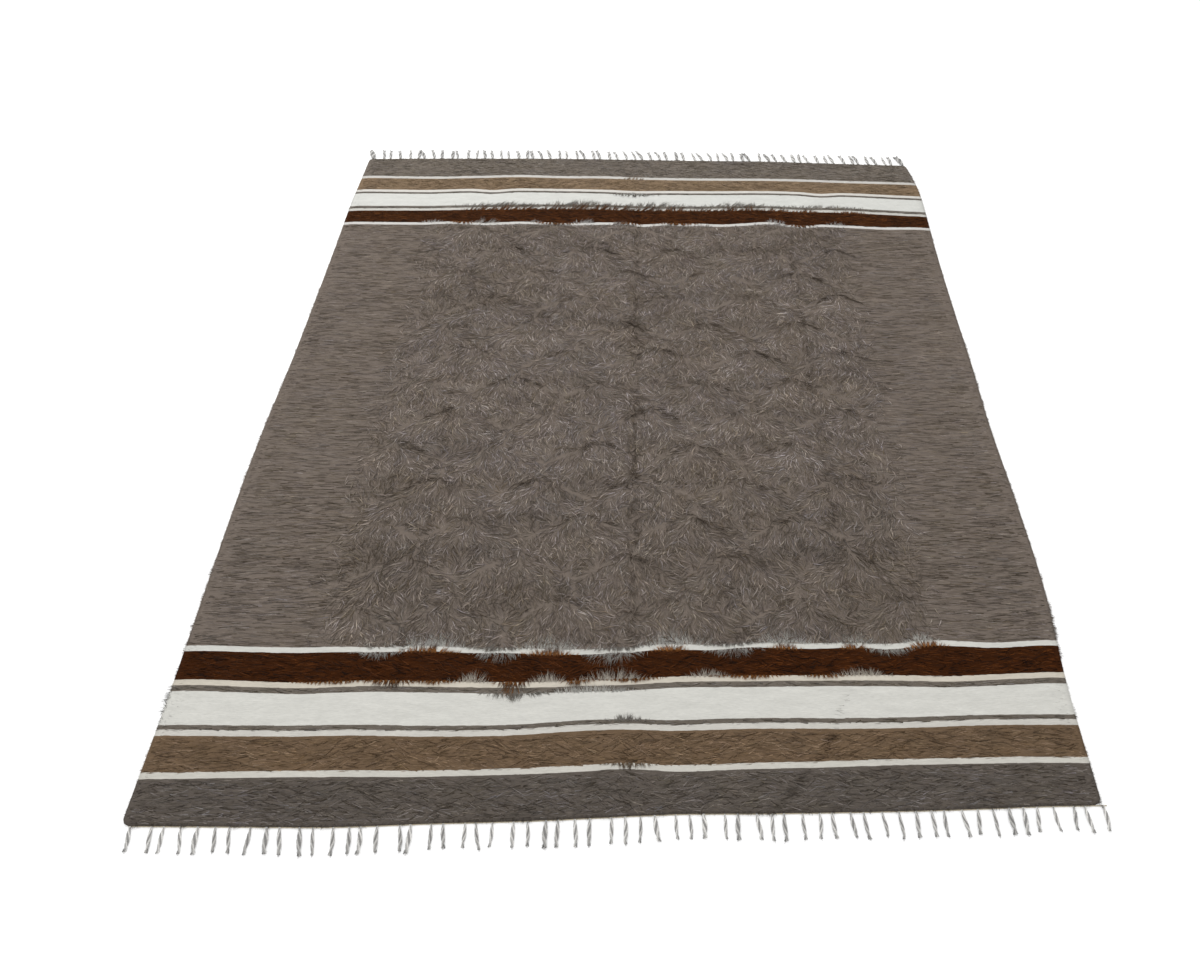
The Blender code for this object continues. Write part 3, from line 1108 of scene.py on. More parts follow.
@dataclass(frozen=True)
class FeatherPlan:
    """Where the brushed tips of one band lie over the next."""

    lines: tuple[FeatheredLine, ...] = (
        FeatheredLine(End.FRONT, "fourth_white", 1, (
            (-0.42, 0.060, 0.024), (-0.17, 0.055, 0.026), (0.10, 0.055, 0.026), (0.34, 0.050, 0.022),
            (0.50, 0.030, 0.020), (0.64, 0.030, 0.016),
        )),
        FeatheredLine(End.FRONT, "fourth_white", -1, (
            (-0.29, 0.050, 0.009), (-0.03, 0.050, 0.010), (0.23, 0.045, 0.008),
        )),
        FeatheredLine(End.FRONT, "dark_brown", 1, (
            (-0.43, 0.045, 0.014), (-0.17, 0.040, 0.014), (0.09, 0.030, 0.013), (0.34, 0.026, 0.012),
            (0.49, 0.024, 0.010), (0.65, 0.034, 0.012),
        )),
        FeatheredLine(End.FRONT, "dark_brown", -1, (
            (-0.54, 0.040, 0.014), (-0.28, 0.045, 0.018), (-0.03, 0.050, 0.022), (0.23, 0.045, 0.018),
            (0.57, 0.045, 0.014),
        )),
        FeatheredLine(End.FRONT, "third_white", 1, (
            (-0.33, 0.030, 0.018), (-0.17, 0.028, 0.018), (-0.03, 0.055, 0.020), (0.17, 0.035, 0.013),
            (0.50, 0.045, 0.014),
        )),
        FeatheredLine(End.FRONT, "third_white", -1, (
            (-0.62, 0.060, 0.006), (-0.50, 0.040, 0.015), (-0.41, 0.040, 0.007), (-0.245, 0.025, 0.022),
            (-0.11, 0.025, 0.012), (0.01, 0.050, 0.007), (0.26, 0.060, 0.007), (0.42, 0.040, 0.007),
        )),
        FeatheredLine(End.FRONT, "wide_white", -1, ((-0.24, 0.050, 0.014),)),
        FeatheredLine(End.FRONT, "wide_white", 1, ((-0.08, 0.080, 0.012),)),
        FeatheredLine(End.FRONT, "first_thin_grey", 1, ((0.0, 0.030, 0.010),)),
        FeatheredLine(End.FRONT, "first_white", -1, ((0.0, 0.035, 0.010),)),
        FeatheredLine(End.BACK, "fourth_white", -1, (
            (-0.26, 0.050, 0.012), (-0.06, 0.018, 0.028), (0.22, 0.030, 0.010), (0.46, 0.030, 0.012),
        )),
        FeatheredLine(End.BACK, "dark_brown", 1, (
            (-0.555, 0.030, 0.010), (-0.255, 0.050, 0.012), (-0.02, 0.028, 0.012), (0.135, 0.055, 0.010),
            (0.535, 0.035, 0.012),
        )),
        FeatheredLine(End.BACK, "dark_brown", -1, (
            (-0.66, 0.030, 0.012), (-0.49, 0.032, 0.022), (-0.33, 0.020, 0.012), (-0.17, 0.026, 0.022),
            (0.46, 0.026, 0.016), (0.65, 0.022, 0.016),
        )),
        FeatheredLine(End.BACK, "third_white", -1, (
            (-0.51, 0.050, 0.024), (-0.43, 0.045, 0.026), (-0.36, 0.035, 0.020), (-0.27, 0.040, 0.024),
            (-0.19, 0.045, 0.030), (-0.12, 0.035, 0.030), (-0.05, 0.040, 0.024), (0.03, 0.050, 0.028),
            (0.12, 0.045, 0.024), (0.22, 0.040, 0.014), (0.30, 0.045, 0.024), (0.37, 0.035, 0.026),
            (0.46, 0.045, 0.016), (0.56, 0.040, 0.014), (0.71, 0.050, 0.010),
        )),
        FeatheredLine(End.BACK, "wide_white", -1, (
            (-0.45, 0.110, 0.018), (-0.18, 0.110, 0.022), (0.06, 0.110, 0.020), (0.33, 0.110, 0.020),
            (0.60, 0.140, 0.014),
        )),
        FeatheredLine(End.BACK, "first_thin_grey", 1, ((-0.01, 0.060, 0.012),)),
        FeatheredLine(End.BACK, "first_thin_grey", -1, ((-0.01, 0.050, 0.012),)),
        FeatheredLine(End.BACK, "first_white", -1, ((-0.01, 0.030, 0.014),)),
    )


@dataclass(frozen=True)
class FeatherStyle:
    """How the feathers of one end are drawn.

    Attributes:
        per_metre: how many tips there are to a metre of spread.
        gathered_share: the share of the tips that gather into tufts.
        closeness: how near they come to the middle of their tuft, up to 1.
        pitch: the distance between tufts.
        fan: how far the outer tips lean away from the feather's middle.
        stoutness: how wide the tips are, next to their cut.
    """

    per_metre: int
    gathered_share: float
    closeness: float
    pitch: float
    fan: float
    stoutness: float


@dataclass(frozen=True)
class RimStretch:
    """A stretch of a side edge where stray hair stands out past the selvedge."""

    side: Side
    begin: float
    finish: float
    hairs: int
    reach: float
    shade: float = 1.0


@dataclass(frozen=True)
class HairCut:
    """How one layer is drawn: its curl, the least and most of its width, arch and length, and its contrast.

    A layer without a contrast takes the plain colour of its band. Where a layer's lengths are worked out by
    its own rule, they aren't given here; the end hair's are shares of what its rule allows.
    """

    bend: float
    width: Pair
    lift: Pair
    length: Pair = (0.0, 0.0)
    contrast: float | None = 1.0


@dataclass(frozen=True)
class WoolMix:
    """How the wool's colour varies, from fibre to fibre and from patch to patch."""

    line_jitter: float = 0.0005
    dark_until: float = 0.30
    light_from: float = 0.74
    dark_fibre: float = 0.66
    light_fibre: float = 1.42
    fibre_range: Pair = (0.92, 1.08)
    dark_wool_contrast: float = 1.5
    warm_spread: float = 0.045
    warm_wide: float = 0.09
    warm_fine: float = 0.10
    warm_in_pale: float = 0.2
    green_bias: float = 0.009
    green_swing: float = 0.06
    blotch_swing: float = 0.62
    blotch_calm: float = 0.20
    patch_low: float = 0.87
    patch_swing: float = 0.26
    shade_hue: tuple[float, float, float] = (0.91, 0.99, 1.13)


@dataclass(frozen=True)
class PileShade:
    """How dark the painted shade on the hair lies in each kind of dip, and how far to the side the shade
    reaches.
    """

    parting: float = 0.80
    parting_width: float = 0.007
    long_creases: tuple[float, ...] = (0.13, 0.30, 0.21)
    long_width: float = 0.011
    long_wander: float = 0.006
    cross_crease: float = 0.20
    cross_width: float = 0.006
    knot: float = 0.60
    knot_width: float = 0.009
    knot_length: float = 0.012
    wrinkle: float = 0.62
    wrinkle_width: float = 0.011
    wrinkle_in_pale: float = 0.07
    in_pale: float = 0.05
    in_bands: float = 0.22


@dataclass
class Pile:
    """The brushed hair over the whole upper face."""

    outline: Outline
    plan: BandPlan
    brushwork: Brushwork
    heights: HeightMap
    seed: int = 17
    mix: WoolMix = WoolMix()
    shade: PileShade = PileShade()
    plain: HairCut = HairCut(0.12, (0.0013, 0.0032), (0.0005, 0.0016), (0.022, 0.052), 1.6)
    fan: HairCut = HairCut(0.5, (0.0018, 0.0036), (0.0010, 0.0026), (0.020, 0.040), 1.15)
    fine: HairCut = HairCut(0.5, (0.0010, 0.0019), (0.0018, 0.0040), (0.009, 0.022), 1.15)
    # The strand layer draws dark strands of painted shade along the partings, knots and creases
    strand: HairCut = HairCut(0.35, (0.0016, 0.0034), (0.0050, 0.0074), contrast=None)
    feather: HairCut = HairCut(0.4, (0.0009, 0.0020), (0.0030, 0.0055), contrast=0.6)
    end_hair: HairCut = HairCut(0.4, (0.0012, 0.0024), (0.0014, 0.0028), (0.3, 1.0))
    rim_hair: HairCut = HairCut(0.5, (0.0012, 0.0024), (0.0004, 0.0015))
    tip_inset: float = 0.001
    plain_spacing: Pair = (0.0078, 0.0040)
    fan_spacing: float = 0.0092
    fine_spacing: float = 0.0044
    end_hairs: int = 2600
    end_shade: float = 0.8
    brown_tips_per_metre: int = 8000
    front_feathers: FeatherStyle = FeatherStyle(6500, 0.75, 0.7, 0.0085, 0.45, 1.0)
    back_feathers: FeatherStyle = FeatherStyle(3400, 0.9, 0.85, 0.0085 * 1.25, 0.2, 1.3)
    # How many dark strands of painted shade lie down each lengthwise crease
    crease_strands: tuple[int, ...] = (40, 110, 70)
    rim: tuple[RimStretch, ...] = (
        RimStretch(Side.LEFT, -1.21, 1.20, 1500, 0.0050),
        RimStretch(Side.RIGHT, -1.21, 1.18, 1500, 0.0050),
        RimStretch(Side.LEFT, -1.01, -0.92, 34, 0.014, 0.36),
        RimStretch(Side.LEFT, -0.84, -0.56, 170, 0.008),
        RimStretch(Side.RIGHT, -0.86, -0.60, 170, 0.008),
        RimStretch(Side.LEFT, -0.40, 0.10, 160, 0.006),
        RimStretch(Side.RIGHT, -0.45, 0.20, 180, 0.006),
    )
    pieces: list[bpy.types.Object] = field(default_factory=list)

    def _scatter(self, chance: Chance, spacing: Pair, box: tuple[float, ...]) -> tuple:
        """Spreads roots evenly over a box, each one a little out of its place."""
        xs = np.arange(box[0], box[1], spacing[0])
        ys = np.arange(box[2], box[3], spacing[1])
        x, y = np.meshgrid(xs, ys)
        x = x.ravel() + chance.uniform(-0.6, 0.6, x.size) * spacing[0]
        y = y.ravel() + chance.uniform(-0.6, 0.6, y.size) * spacing[1]
        held = self.outline.inside(x, y, 0.003)
        return x[held], y[held]

    def _in_field(self, x: Array, y: Array) -> Array:
        """Whether roots lie between the bands of the two ends."""
        place = self.plan.place(x, y) * 2 * self.plan.deepest
        return np.minimum(place, self.plan.span - place) > self.plan.bands[-1].reach

    def _wool(self, chance: Chance, x: Array, y: Array, contrast: float) -> Array:
        """The colour of the wool at each root, with its mix of light and dark fibres, the dark ones partly
        painted shade of the gaps between locks.
        """
        mix = self.mix
        jitter = chance.normal(0.0, mix.line_jitter, len(x)) / self.plan.span
        colour = self.plan.colours(self.plan.place(x, y) + jitter)
        bright = colour.mean(1) > PALE_WOOL
        # The light and dark fibres are partly the wool's own mix and partly painted shade: the dark ones also
        # stand for the shade in the gaps between locks
        fibre = chance.random(len(x))
        light = np.where(fibre > mix.light_from, mix.light_fibre, 1.0)
        light = np.where(fibre < mix.dark_until, mix.dark_fibre, light)
        strength = np.where(colour.mean(1) < DARK_WOOL, mix.dark_wool_contrast * contrast, contrast)
        light = (1 + strength * (light - 1)) * chance.uniform(*mix.fibre_range, len(x))
        light = np.where(bright, 0.96 + 0.04 * light, light)
        warm = chance.normal(0.0, mix.warm_spread, len(x))
        warm = warm + mix.warm_wide * swing(Grain.WARM_WIDE, x, y, 9.0)
        warm = warm + mix.warm_fine * swing(Grain.WARM_FINE, x, y, 34.0)
        warm = np.where(bright, mix.warm_in_pale * warm, warm)
        green = mix.green_bias + mix.green_swing * swing(Grain.GREEN, x, y, 60.0)
        green = np.where(bright, 0.0, green) + 0.2 * warm
        tint = np.column_stack([1 + 0.6 * warm, 1 + green, 1 - warm])
        # The blotches and patches are the wool's own tone, darker and lighter at random; shade below holds
        # them and, over the field, the painted light towards the back
        blotch = ValueNoise(Grain.BLOTCHES)(x * 10.0, y * 38.0)
        patches = mix.patch_low + mix.patch_swing * ValueNoise(Grain.PATCHES)(x * 7.0 + 40, y * 9.0)
        brushed = self.brushwork.brushed(x, y)
        depth = mix.blotch_swing - mix.blotch_calm * brushed
        shade = np.where(bright, 0.98 + 0.02 * blotch, (1 + depth * (blotch - 0.5)) * patches)
        # Painted light over the field: the wool is made lighter towards the back, where the light falls
        # brighter, and in the brushed middle a little darker again towards the back
        along = 0.95 + 0.24 * smooth_step((y + 0.6) / 0.5) - 0.10 * brushed * smooth_step(y / 0.6)
        shade = np.where(self._in_field(x, y), shade * along, shade)
        return colour * (light * shade)[:, None] ** mix.shade_hue * tint

    def _swirl(self, x: Array, y: Array) -> Array:
        """How far the hair's lie wanders, the same for neighbouring roots."""
        return 1.5 * swing(Grain.SWIRL_WIDE, x, y, 16.0) + 2.2 * swing(Grain.SWIRL_FINE, x, y, 45.0)

    def _field_flow(self, chance: Chance, x: Array, y: Array) -> tuple:
        """Which way the hair of the brushed field lies, and how far down its lobe each root stands."""
        count = len(x)
        tops = self.brushwork.lobes()
        lobe, below, aside = self.brushwork.nearest(x, y)
        fall = np.minimum(below / self.brushwork.row_pitch, 1.3)
        top_y = np.where(lobe >= 0, tops[lobe, 1], y + 0.1)
        fan = np.arctan2(y - (top_y + 0.045), aside + 1e-9)
        down = np.where(lobe >= 0, fan, -math.pi / 2) + chance.normal(0.0, 0.22, count)
        upward = math.pi / 2 + chance.normal(0.0, 0.45, count) - 3.0 * aside
        turn_back = smooth_step((fall - 0.58) / 0.30 + chance.normal(0.0, 0.12, count))
        angle = np.where(chance.random(count) < turn_back, upward, down) + self._swirl(x, y)
        drawn_up = chance.random(count) < smooth_step((0.445 - self.outline.to_end(End.BACK, x, y)) / 0.03)
        return np.where(drawn_up, math.pi / 2 + 0.2 * chance.normal(size=count), angle), fall

    def _knot_flow(
        self, chance: Chance, x: Array, y: Array, angle: Array
    ) -> Array:
        """Turns the hair round each tousled knot of the middle crease."""
        for knot in self.brushwork.knots:
            from_x, from_y = x - self.brushwork.middle_crease, y - knot.along
            near = np.exp(-((np.hypot(from_x, from_y) / (0.022 + 0.020 * knot.strength)) ** 2))
            round_knot = np.arctan2(from_y, from_x) + 0.6 + chance.normal(0.0, 0.35, len(x))
            angle = np.where(chance.random(len(x)) < near * 1.2, round_knot, angle)
        return angle

    def _weftwise(self, chance: Chance, x: Array, y: Array) -> Array:
        """Which way the plain hair of the margins and bands lies."""
        sense = np.where(chance.random(len(x)) < 0.5, 0.0, math.pi)
        brushed = self.brushwork.brushed(x, y)
        at_crease = np.exp(-(((x - self.brushwork.middle_crease) / 0.05) ** 2))
        messy = 0.09 + 0.12 * brushed + 0.25 * at_crease + 0.13 * ~self._in_field(x, y)
        stray = messy * np.clip(chance.normal(0.0, 1.0, len(x)), -1.7, 1.7)
        return sense + self._line_slope(x, y) + stray + 0.30 * brushed * self._swirl(x, y)

    def _line_slope(self, x: Array, y: Array) -> Array:
        """Which way the woven lines run at each root."""
        step = 0.004
        across = self.plan.place(x + step, y) - self.plan.place(x - step, y)
        along = self.plan.place(x, y + step) - self.plan.place(x, y - step)
        slope = np.where(along > 1e-5, -across / np.maximum(along, 1e-5), 0.0)
        return np.arctan(np.clip(slope, -0.3, 0.3))

    def _straightened(self, locks: Locks) -> Locks:
        """Lays flat along the weft the locks whose tips would cross into another band."""
        tip = self.plan.wool(*locks.tips())
        crossing = np.zeros(len(tip), bool)
        for aside in (-0.0015, 0.0015):
            crossing |= np.abs(self.plan.wool(locks.x, locks.y + aside) - tip).max(1) > 0.02
        flat = np.where(np.cos(locks.angle) < 0, math.pi, 0.0) + self._line_slope(locks.x, locks.y)
        locks.angle = np.where(crossing, flat, locks.angle)
        locks.bend = np.where(crossing, 0.0, locks.bend)
        locks.length = np.where(crossing, locks.length * 0.45, locks.length)
        locks.width = np.where(crossing, locks.width * 0.65, locks.width)
        return locks

    def _parting_shade(self, x: Array, y: Array) -> Array:
        """How much painted shade the hair beside an open parting carries."""
        shade = np.ones(len(x))
        for top_x, top_y, left, right in self.brushwork.lobes():
            sideways = x - top_x
            opening = np.where(sideways < 0, left, right)
            reach = self.brushwork.arm_reach * (0.45 + 0.55 * opening)
            taper = np.clip(1 - np.abs(sideways) / reach, 0.0, 1.0)
            line = top_y - y - self.brushwork.parting_slope * np.abs(sideways)
            # Painted shade along each open arm of the parting
            dark = self.shade.parting * opening * np.sqrt(taper)
            dark = dark * np.exp(-((line / self.shade.parting_width) ** 2))
            shade = np.minimum(shade, 1 - dark)
        return shade

    def _crease_shade(self, x: Array, y: Array) -> Array:
        """How much painted shade darkens the hair in a fold crease, round a knot and in the wrinkle."""
        kind, brushwork = self.shade, self.brushwork
        depth = np.zeros(len(x))
        for crease, strength in zip(brushwork.long_creases, kind.long_creases):
            wander = ValueNoise(Grain.CREASE_WANDER)(y * 11.0, y * 0.0 + crease * 7) - 0.5
            aside = (x - crease - kind.long_wander * wander) / kind.long_width
            breaks = 0.25 + 1.2 * ValueNoise(Grain.CREASE_BREAKS)(y * 8.0, y * 0.0 + crease * 13 + 3)
            depth = np.maximum(depth, strength * breaks * np.exp(-(aside**2)))
        for knot in brushwork.knots:
            away = ((x - brushwork.middle_crease) / kind.knot_width) ** 2
            away = away + ((y - knot.along) / kind.knot_length) ** 2
            depth = np.maximum(depth, kind.knot * knot.strength * np.exp(-away))
        in_margin = smooth_step((np.abs(x) - 0.5) / 0.15)
        for crease in brushwork.cross_creases:
            aside = (y - crease) / kind.cross_width
            depth = np.maximum(depth, kind.cross_crease * in_margin * np.exp(-(aside**2)))
        pale = self.plan.wool(x, y).mean(1) > PALE_WOOL
        depth = depth * np.where(pale, kind.in_pale, np.where(self._in_field(x, y), 1.0, kind.in_bands))
        wrinkle = kind.wrinkle * brushwork.wrinkle_depth(x, y, kind.wrinkle_width)
        return 1 - np.maximum(depth, wrinkle * np.where(pale, kind.wrinkle_in_pale, 1.0))

    def _draw(
        self,
        chance: Chance,
        roots: tuple[Array, Array],
        angle: Array,
        cut: HairCut,
        length: Array | None = None,
    ) -> Locks:
        """Draws one lock at each root, at a length given or at one within its cut's own range."""
        x, y = roots
        count = len(x)
        bend = chance.normal(0.0, cut.bend, count)
        length = chance.uniform(*cut.length, count) if length is None else length
        width = chance.uniform(*cut.width, count)
        lift = chance.uniform(*cut.lift, count)
        plain = cut.contrast is None
        colour = self.plan.wool(x, y) if plain else self._wool(chance, x, y, cut.contrast)
        return Locks(x, y, angle, bend, length, width, lift, colour)

    def _combed(
        self,
        chance: Chance,
        roots: tuple[Array, Array],
        angle: Array,
        cut: HairCut,
        light: Array,
    ) -> Locks:
        """Draws the locks of a whole layer, with painted shade in the creases, and turned back inside the
        cloth.

        Args:
            chance: the pile's random source.
            roots: where the locks stand.
            angle: which way each one lies.
            cut: how the layer is drawn.
            light: the painted light or shade of each one, next to its wool.

        Returns:
            The locks.
        """
        locks = self._draw(chance, roots, angle, cut)
        # Painted shade of the creases, knots and wrinkle, with the painted light or shade given, multiplied
        # into each lock's colour
        locks.colour = locks.colour * (self._crease_shade(*roots) * light)[:, None] ** self.mix.shade_hue
        tip_x, tip_y = locks.tips()
        over_side = self.outline.to_side(tip_x, tip_y) < self.tip_inset
        over_end = self.outline.to_nearer_end(tip_x, tip_y) < self.tip_inset
        locks.angle = np.where(over_side, math.pi - locks.angle, locks.angle)
        locks.angle = np.where(over_end, -locks.angle, locks.angle)
        return locks

    def _plain_hair(self, chance: Chance) -> Locks:
        """The short weftwise hair of the side margins and the bands."""
        x, y = self._scatter(chance, self.plain_spacing, (-0.98, 0.98, -1.26, 1.26))
        left_out = np.where(self._in_field(x, y), 0.35 + 0.65 * self.brushwork.brushed(x, y), 0.0)
        plain = chance.random(len(x)) > left_out
        x, y = x[plain], y[plain]
        angle = self._knot_flow(chance, x, y, self._weftwise(chance, x, y))
        locks = self._combed(chance, (x, y), angle, self.plain, np.ones(len(x)))
        off_rim = smooth_step(self.outline.to_side(x, y) / 0.04)
        locks.length = np.where(self._in_field(x, y), 1.0, 0.7) * locks.length * (0.35 + 0.65 * off_rim)
        pale = locks.colour.mean(1) > PALE_WOOL
        locks.lift = np.where(pale, 0.65, 1.0) * locks.lift + 0.0009 * (1 - off_rim)
        return self._straightened(locks)

    def _field_hair(self, chance: Chance, spacing: float, cut: HairCut) -> Locks:
        """One layer of the brushed hair of the field."""
        x, y = self._scatter(chance, (spacing, spacing), (-0.72, 0.72, -0.86, 0.84))
        brushed = (chance.random(len(x)) < self.brushwork.brushed(x, y)) & self._in_field(x, y)
        x, y = x[brushed], y[brushed]
        angle, fall = self._field_flow(chance, x, y)
        angle = self._knot_flow(chance, x, y, angle)
        # Painted light and shade on each lobe: its hair is lighter partway down below the parting and darker
        # towards the lobe's foot, where the hair turns back
        painted_lobe_light = 0.22 * np.exp(-(((fall - 0.40) / 0.22) ** 2))
        light = 1.05 + painted_lobe_light - 0.07 * smooth_step((fall - 0.7) / 0.3)
        locks = self._combed(chance, (x, y), angle, cut, light * self._parting_shade(x, y))
        tip_y = locks.tips()[1]
        leaving = ~self._in_field(locks.x, tip_y - 0.006 * np.where(y < 0, -1, 1))
        locks.length = np.where(leaving, locks.length * 0.35, locks.length)
        return locks

    def _shade_strands(self, chance: Chance) -> Locks:
        """Dark strands of painted shade along the partings, round the knots and down the creases."""
        rows = []
        slope = self.brushwork.parting_slope
        for top_x, top_y, left, right in self.brushwork.lobes():
            for way, opening in ((-1, left), (1, right)):
                reach = self.brushwork.arm_reach * (0.40 + 0.60 * opening)
                for _ in range(int(1 + 7 * opening)):
                    start = chance.uniform(0.0, 0.80) * reach
                    x = top_x + way * start
                    y = top_y - slope * abs(start) + chance.normal(0.0, 0.0016)
                    angle = math.atan2(-slope, way) + chance.normal(0.0, 0.14)
                    length = chance.uniform(0.20, 0.50) * reach
                    rows.append((x, y, angle, length, 0.34 + 0.34 * (1 - opening)))
        for knot in self.brushwork.knots:
            for _ in range(int(3 + 8 * knot.strength)):
                angle = chance.uniform(0, 2 * math.pi)
                start = chance.uniform(0.0, 0.008)
                x = self.brushwork.middle_crease + start * math.cos(angle)
                y = knot.along + start * math.sin(angle)
                rows.append((x, y, angle + 0.5, chance.uniform(0.010, 0.024), 0.46))
        for crease, count in zip(self.brushwork.long_creases, self.crease_strands):
            for _ in range(count):
                y = chance.uniform(-0.80, 0.78)
                x = crease + chance.normal(0.0, 0.005)
                angle = chance.choice((-1, 1)) * math.pi / 2 + chance.normal(0.0, 0.5)
                rows.append((x, y, angle, chance.uniform(0.014, 0.032), 0.52))
        rows = np.array(rows)
        x, y, angle, length, shade = rows[self._in_field(rows[:, 0], rows[:, 1])].T
        locks = self._draw(chance, (x, y), angle, self.strand, length)
        # Painted shade: each strand is its wool's colour darkened by its row's shade
        locks.colour = locks.colour * shade[:, None] ** self.mix.shade_hue
        return locks

    def _feather_hair(self, chance: Chance, brown_tips: bool) -> Locks:
        """The fine tips over the lines between the bands: those that show thin brown wool, or the rest."""
        parts = []
        reaches = {band.name: band.reach for band in self.plan.bands}
        for row in FeatherPlan().lines:
            front = row.end is End.FRONT
            style = self.front_feathers if front else self.back_feathers
            inner_edge = row.band == "dark_brown" and row.inward > 0
            outer_edge = row.band == "third_white" and row.inward < 0 and front
            if (inner_edge or outer_edge) != brown_tips:
                continue
            line = reaches[row.band]
            for across, spread, reach in row.feathers:
                count = int(spread * (self.brown_tips_per_metre if brown_tips else style.per_metre))
                x = across + np.clip(chance.normal(0.0, 0.6, count), -1.4, 1.4) * spread
                gathered = np.where(chance.random(count) < style.gathered_share, style.closeness, 0.0)
                x = x + gathered * (style.pitch * np.round(x / style.pitch) - x)
                back_off = chance.uniform(0.0005, 0.005, count)
                depth = self.plan.real_depth(row.end, x, line) - row.inward * back_off
                y = row.end.value * (np.abs(self.outline.end_edge(row.end, x)) - depth)
                towards = -row.end.value * row.inward
                side_lean = style.fan * (x - across) / spread
                if row.end is End.BACK and row.inward < 0:
                    side_lean = side_lean + 0.45
                tuft = 1.3 * (ValueNoise(Grain.TUFTS)(x * 110.0, x * 0.0 + 90 * line) - 0.5)
                angle = towards * (math.pi / 2 - side_lean) + tuft + chance.normal(0.0, 0.14, count)
                fade = np.exp(-(((x - across) / spread) ** 2))
                length = back_off + reach * (0.3 + 1.7 * chance.random(count) ** 2) * (0.35 + 0.65 * fade)
                parts.append((x, y, angle, length))
        x, y, angle, length = (np.concatenate(column) for column in zip(*parts))
        locks = self._draw(chance, (x, y), angle, self.feather, length)
        locks.width = locks.width * np.where(y > 0, self.back_feathers.stoutness, 1.0)
        return locks

    def _end_hair(self, chance: Chance) -> Locks:
        """The short hair that reaches a little past the cloth's two ends."""
        end = np.where(chance.random(self.end_hairs) < 0.5, -1.0, 1.0)
        x = chance.uniform(-0.94, 0.94, self.end_hairs)
        edge = np.where(end < 0, self.outline.end_edge(End.FRONT, x), self.outline.end_edge(End.BACK, x))
        inset = chance.uniform(0.002, 0.006, self.end_hairs)
        y = edge - end * inset
        held = self.outline.to_side(x, y) > 0.004
        x, y, end, inset = x[held], y[held], end[held], inset[held]
        angle = end * math.pi / 2 + chance.normal(0.0, 0.5, len(x))
        locks = self._draw(chance, (x, y), angle, self.end_hair)
        locks.length = inset + 0.012 * ValueNoise(Grain.END_CLUMPS)(x * 70.0, end * 5 + 10) * locks.length
        locks.colour = locks.colour * self.end_shade
        return locks

    def _rim_hair(self, chance: Chance) -> Locks:
        """The stray hair past the side edges."""
        parts = []
        for stretch in self.rim:
            y = chance.uniform(stretch.begin, stretch.finish, stretch.hairs)
            inset = chance.uniform(0.002, 0.006, stretch.hairs)
            x = self.outline.side_edge(stretch.side, y) - stretch.side.value * inset
            clump = ValueNoise(Grain.RIM_CLUMPS)(y * 60.0, y * 0.0 + stretch.side.value * 5)
            outward = 0.0 if stretch.side is Side.RIGHT else math.pi
            angle = outward + chance.normal(0.0, 0.45, stretch.hairs)
            length = inset + stretch.reach * (0.2 + 1.3 * clump) * chance.uniform(0.5, 1.0, stretch.hairs)
            parts.append((x, y, angle, length, np.full(stretch.hairs, stretch.shade)))
        x, y, angle, length, shade = (np.concatenate(column) for column in zip(*parts))
        locks = self._draw(chance, (x, y), angle, self.rim_hair, length)
        locks.colour = locks.colour * shade[:, None]
        return locks

    def _add(self, name: str, shape: LockShape, locks: Locks, builder: LockBuilder, parts: int = 1) -> None:
        """Builds a layer as one piece, or as several of like size from the front to the back."""
        limits = np.quantile(locks.y, np.linspace(0.0, 1.0, parts + 1))
        number = np.clip(np.searchsorted(limits, locks.y, side="right") - 1, 0, parts - 1)
        for k in range(parts):
            piece = f"{name}_{k + 1}" if parts > 1 else name
            self.pieces.append(builder.build(piece, shape, locks.keep(number == k)))

    def build(self) -> list[bpy.types.Object]:
        """Builds every layer of hair, from the plain lower one to the stray hairs."""
        builder = LockBuilder(self.heights, self.plan.wool, PileFinish().material())
        # Feathers and brown tips carry less painted shade at their roots
        feathered = replace(builder, root_shade=0.95, tip_blend=0.38)
        tipped = replace(builder, root_shade=0.95, brown_blend=1.0)
        spike = LockShape(rings=())
        curved = LockShape(rings=((0.45, 0.9),))
        chance = np.random.default_rng(self.seed)
        self._add("plain_hair", spike, self._plain_hair(chance), builder, 3)
        self._add("fan_hair", curved, self._field_hair(chance, self.fan_spacing, self.fan), builder, 2)
        self._add("fine_hair", spike, self._field_hair(chance, self.fine_spacing, self.fine), builder, 4)
        self._add("parting_shade_strands", curved, self._shade_strands(chance), builder)
        self._add("line_feathers", spike, self._feather_hair(chance, False), feathered)
        self._add("brown_tips", spike, self._feather_hair(chance, True), tipped)
        self._add("rim_hair", spike, self._rim_hair(chance), builder)
        self._add("end_hair", spike, self._end_hair(chance), builder)
        return self.pieces


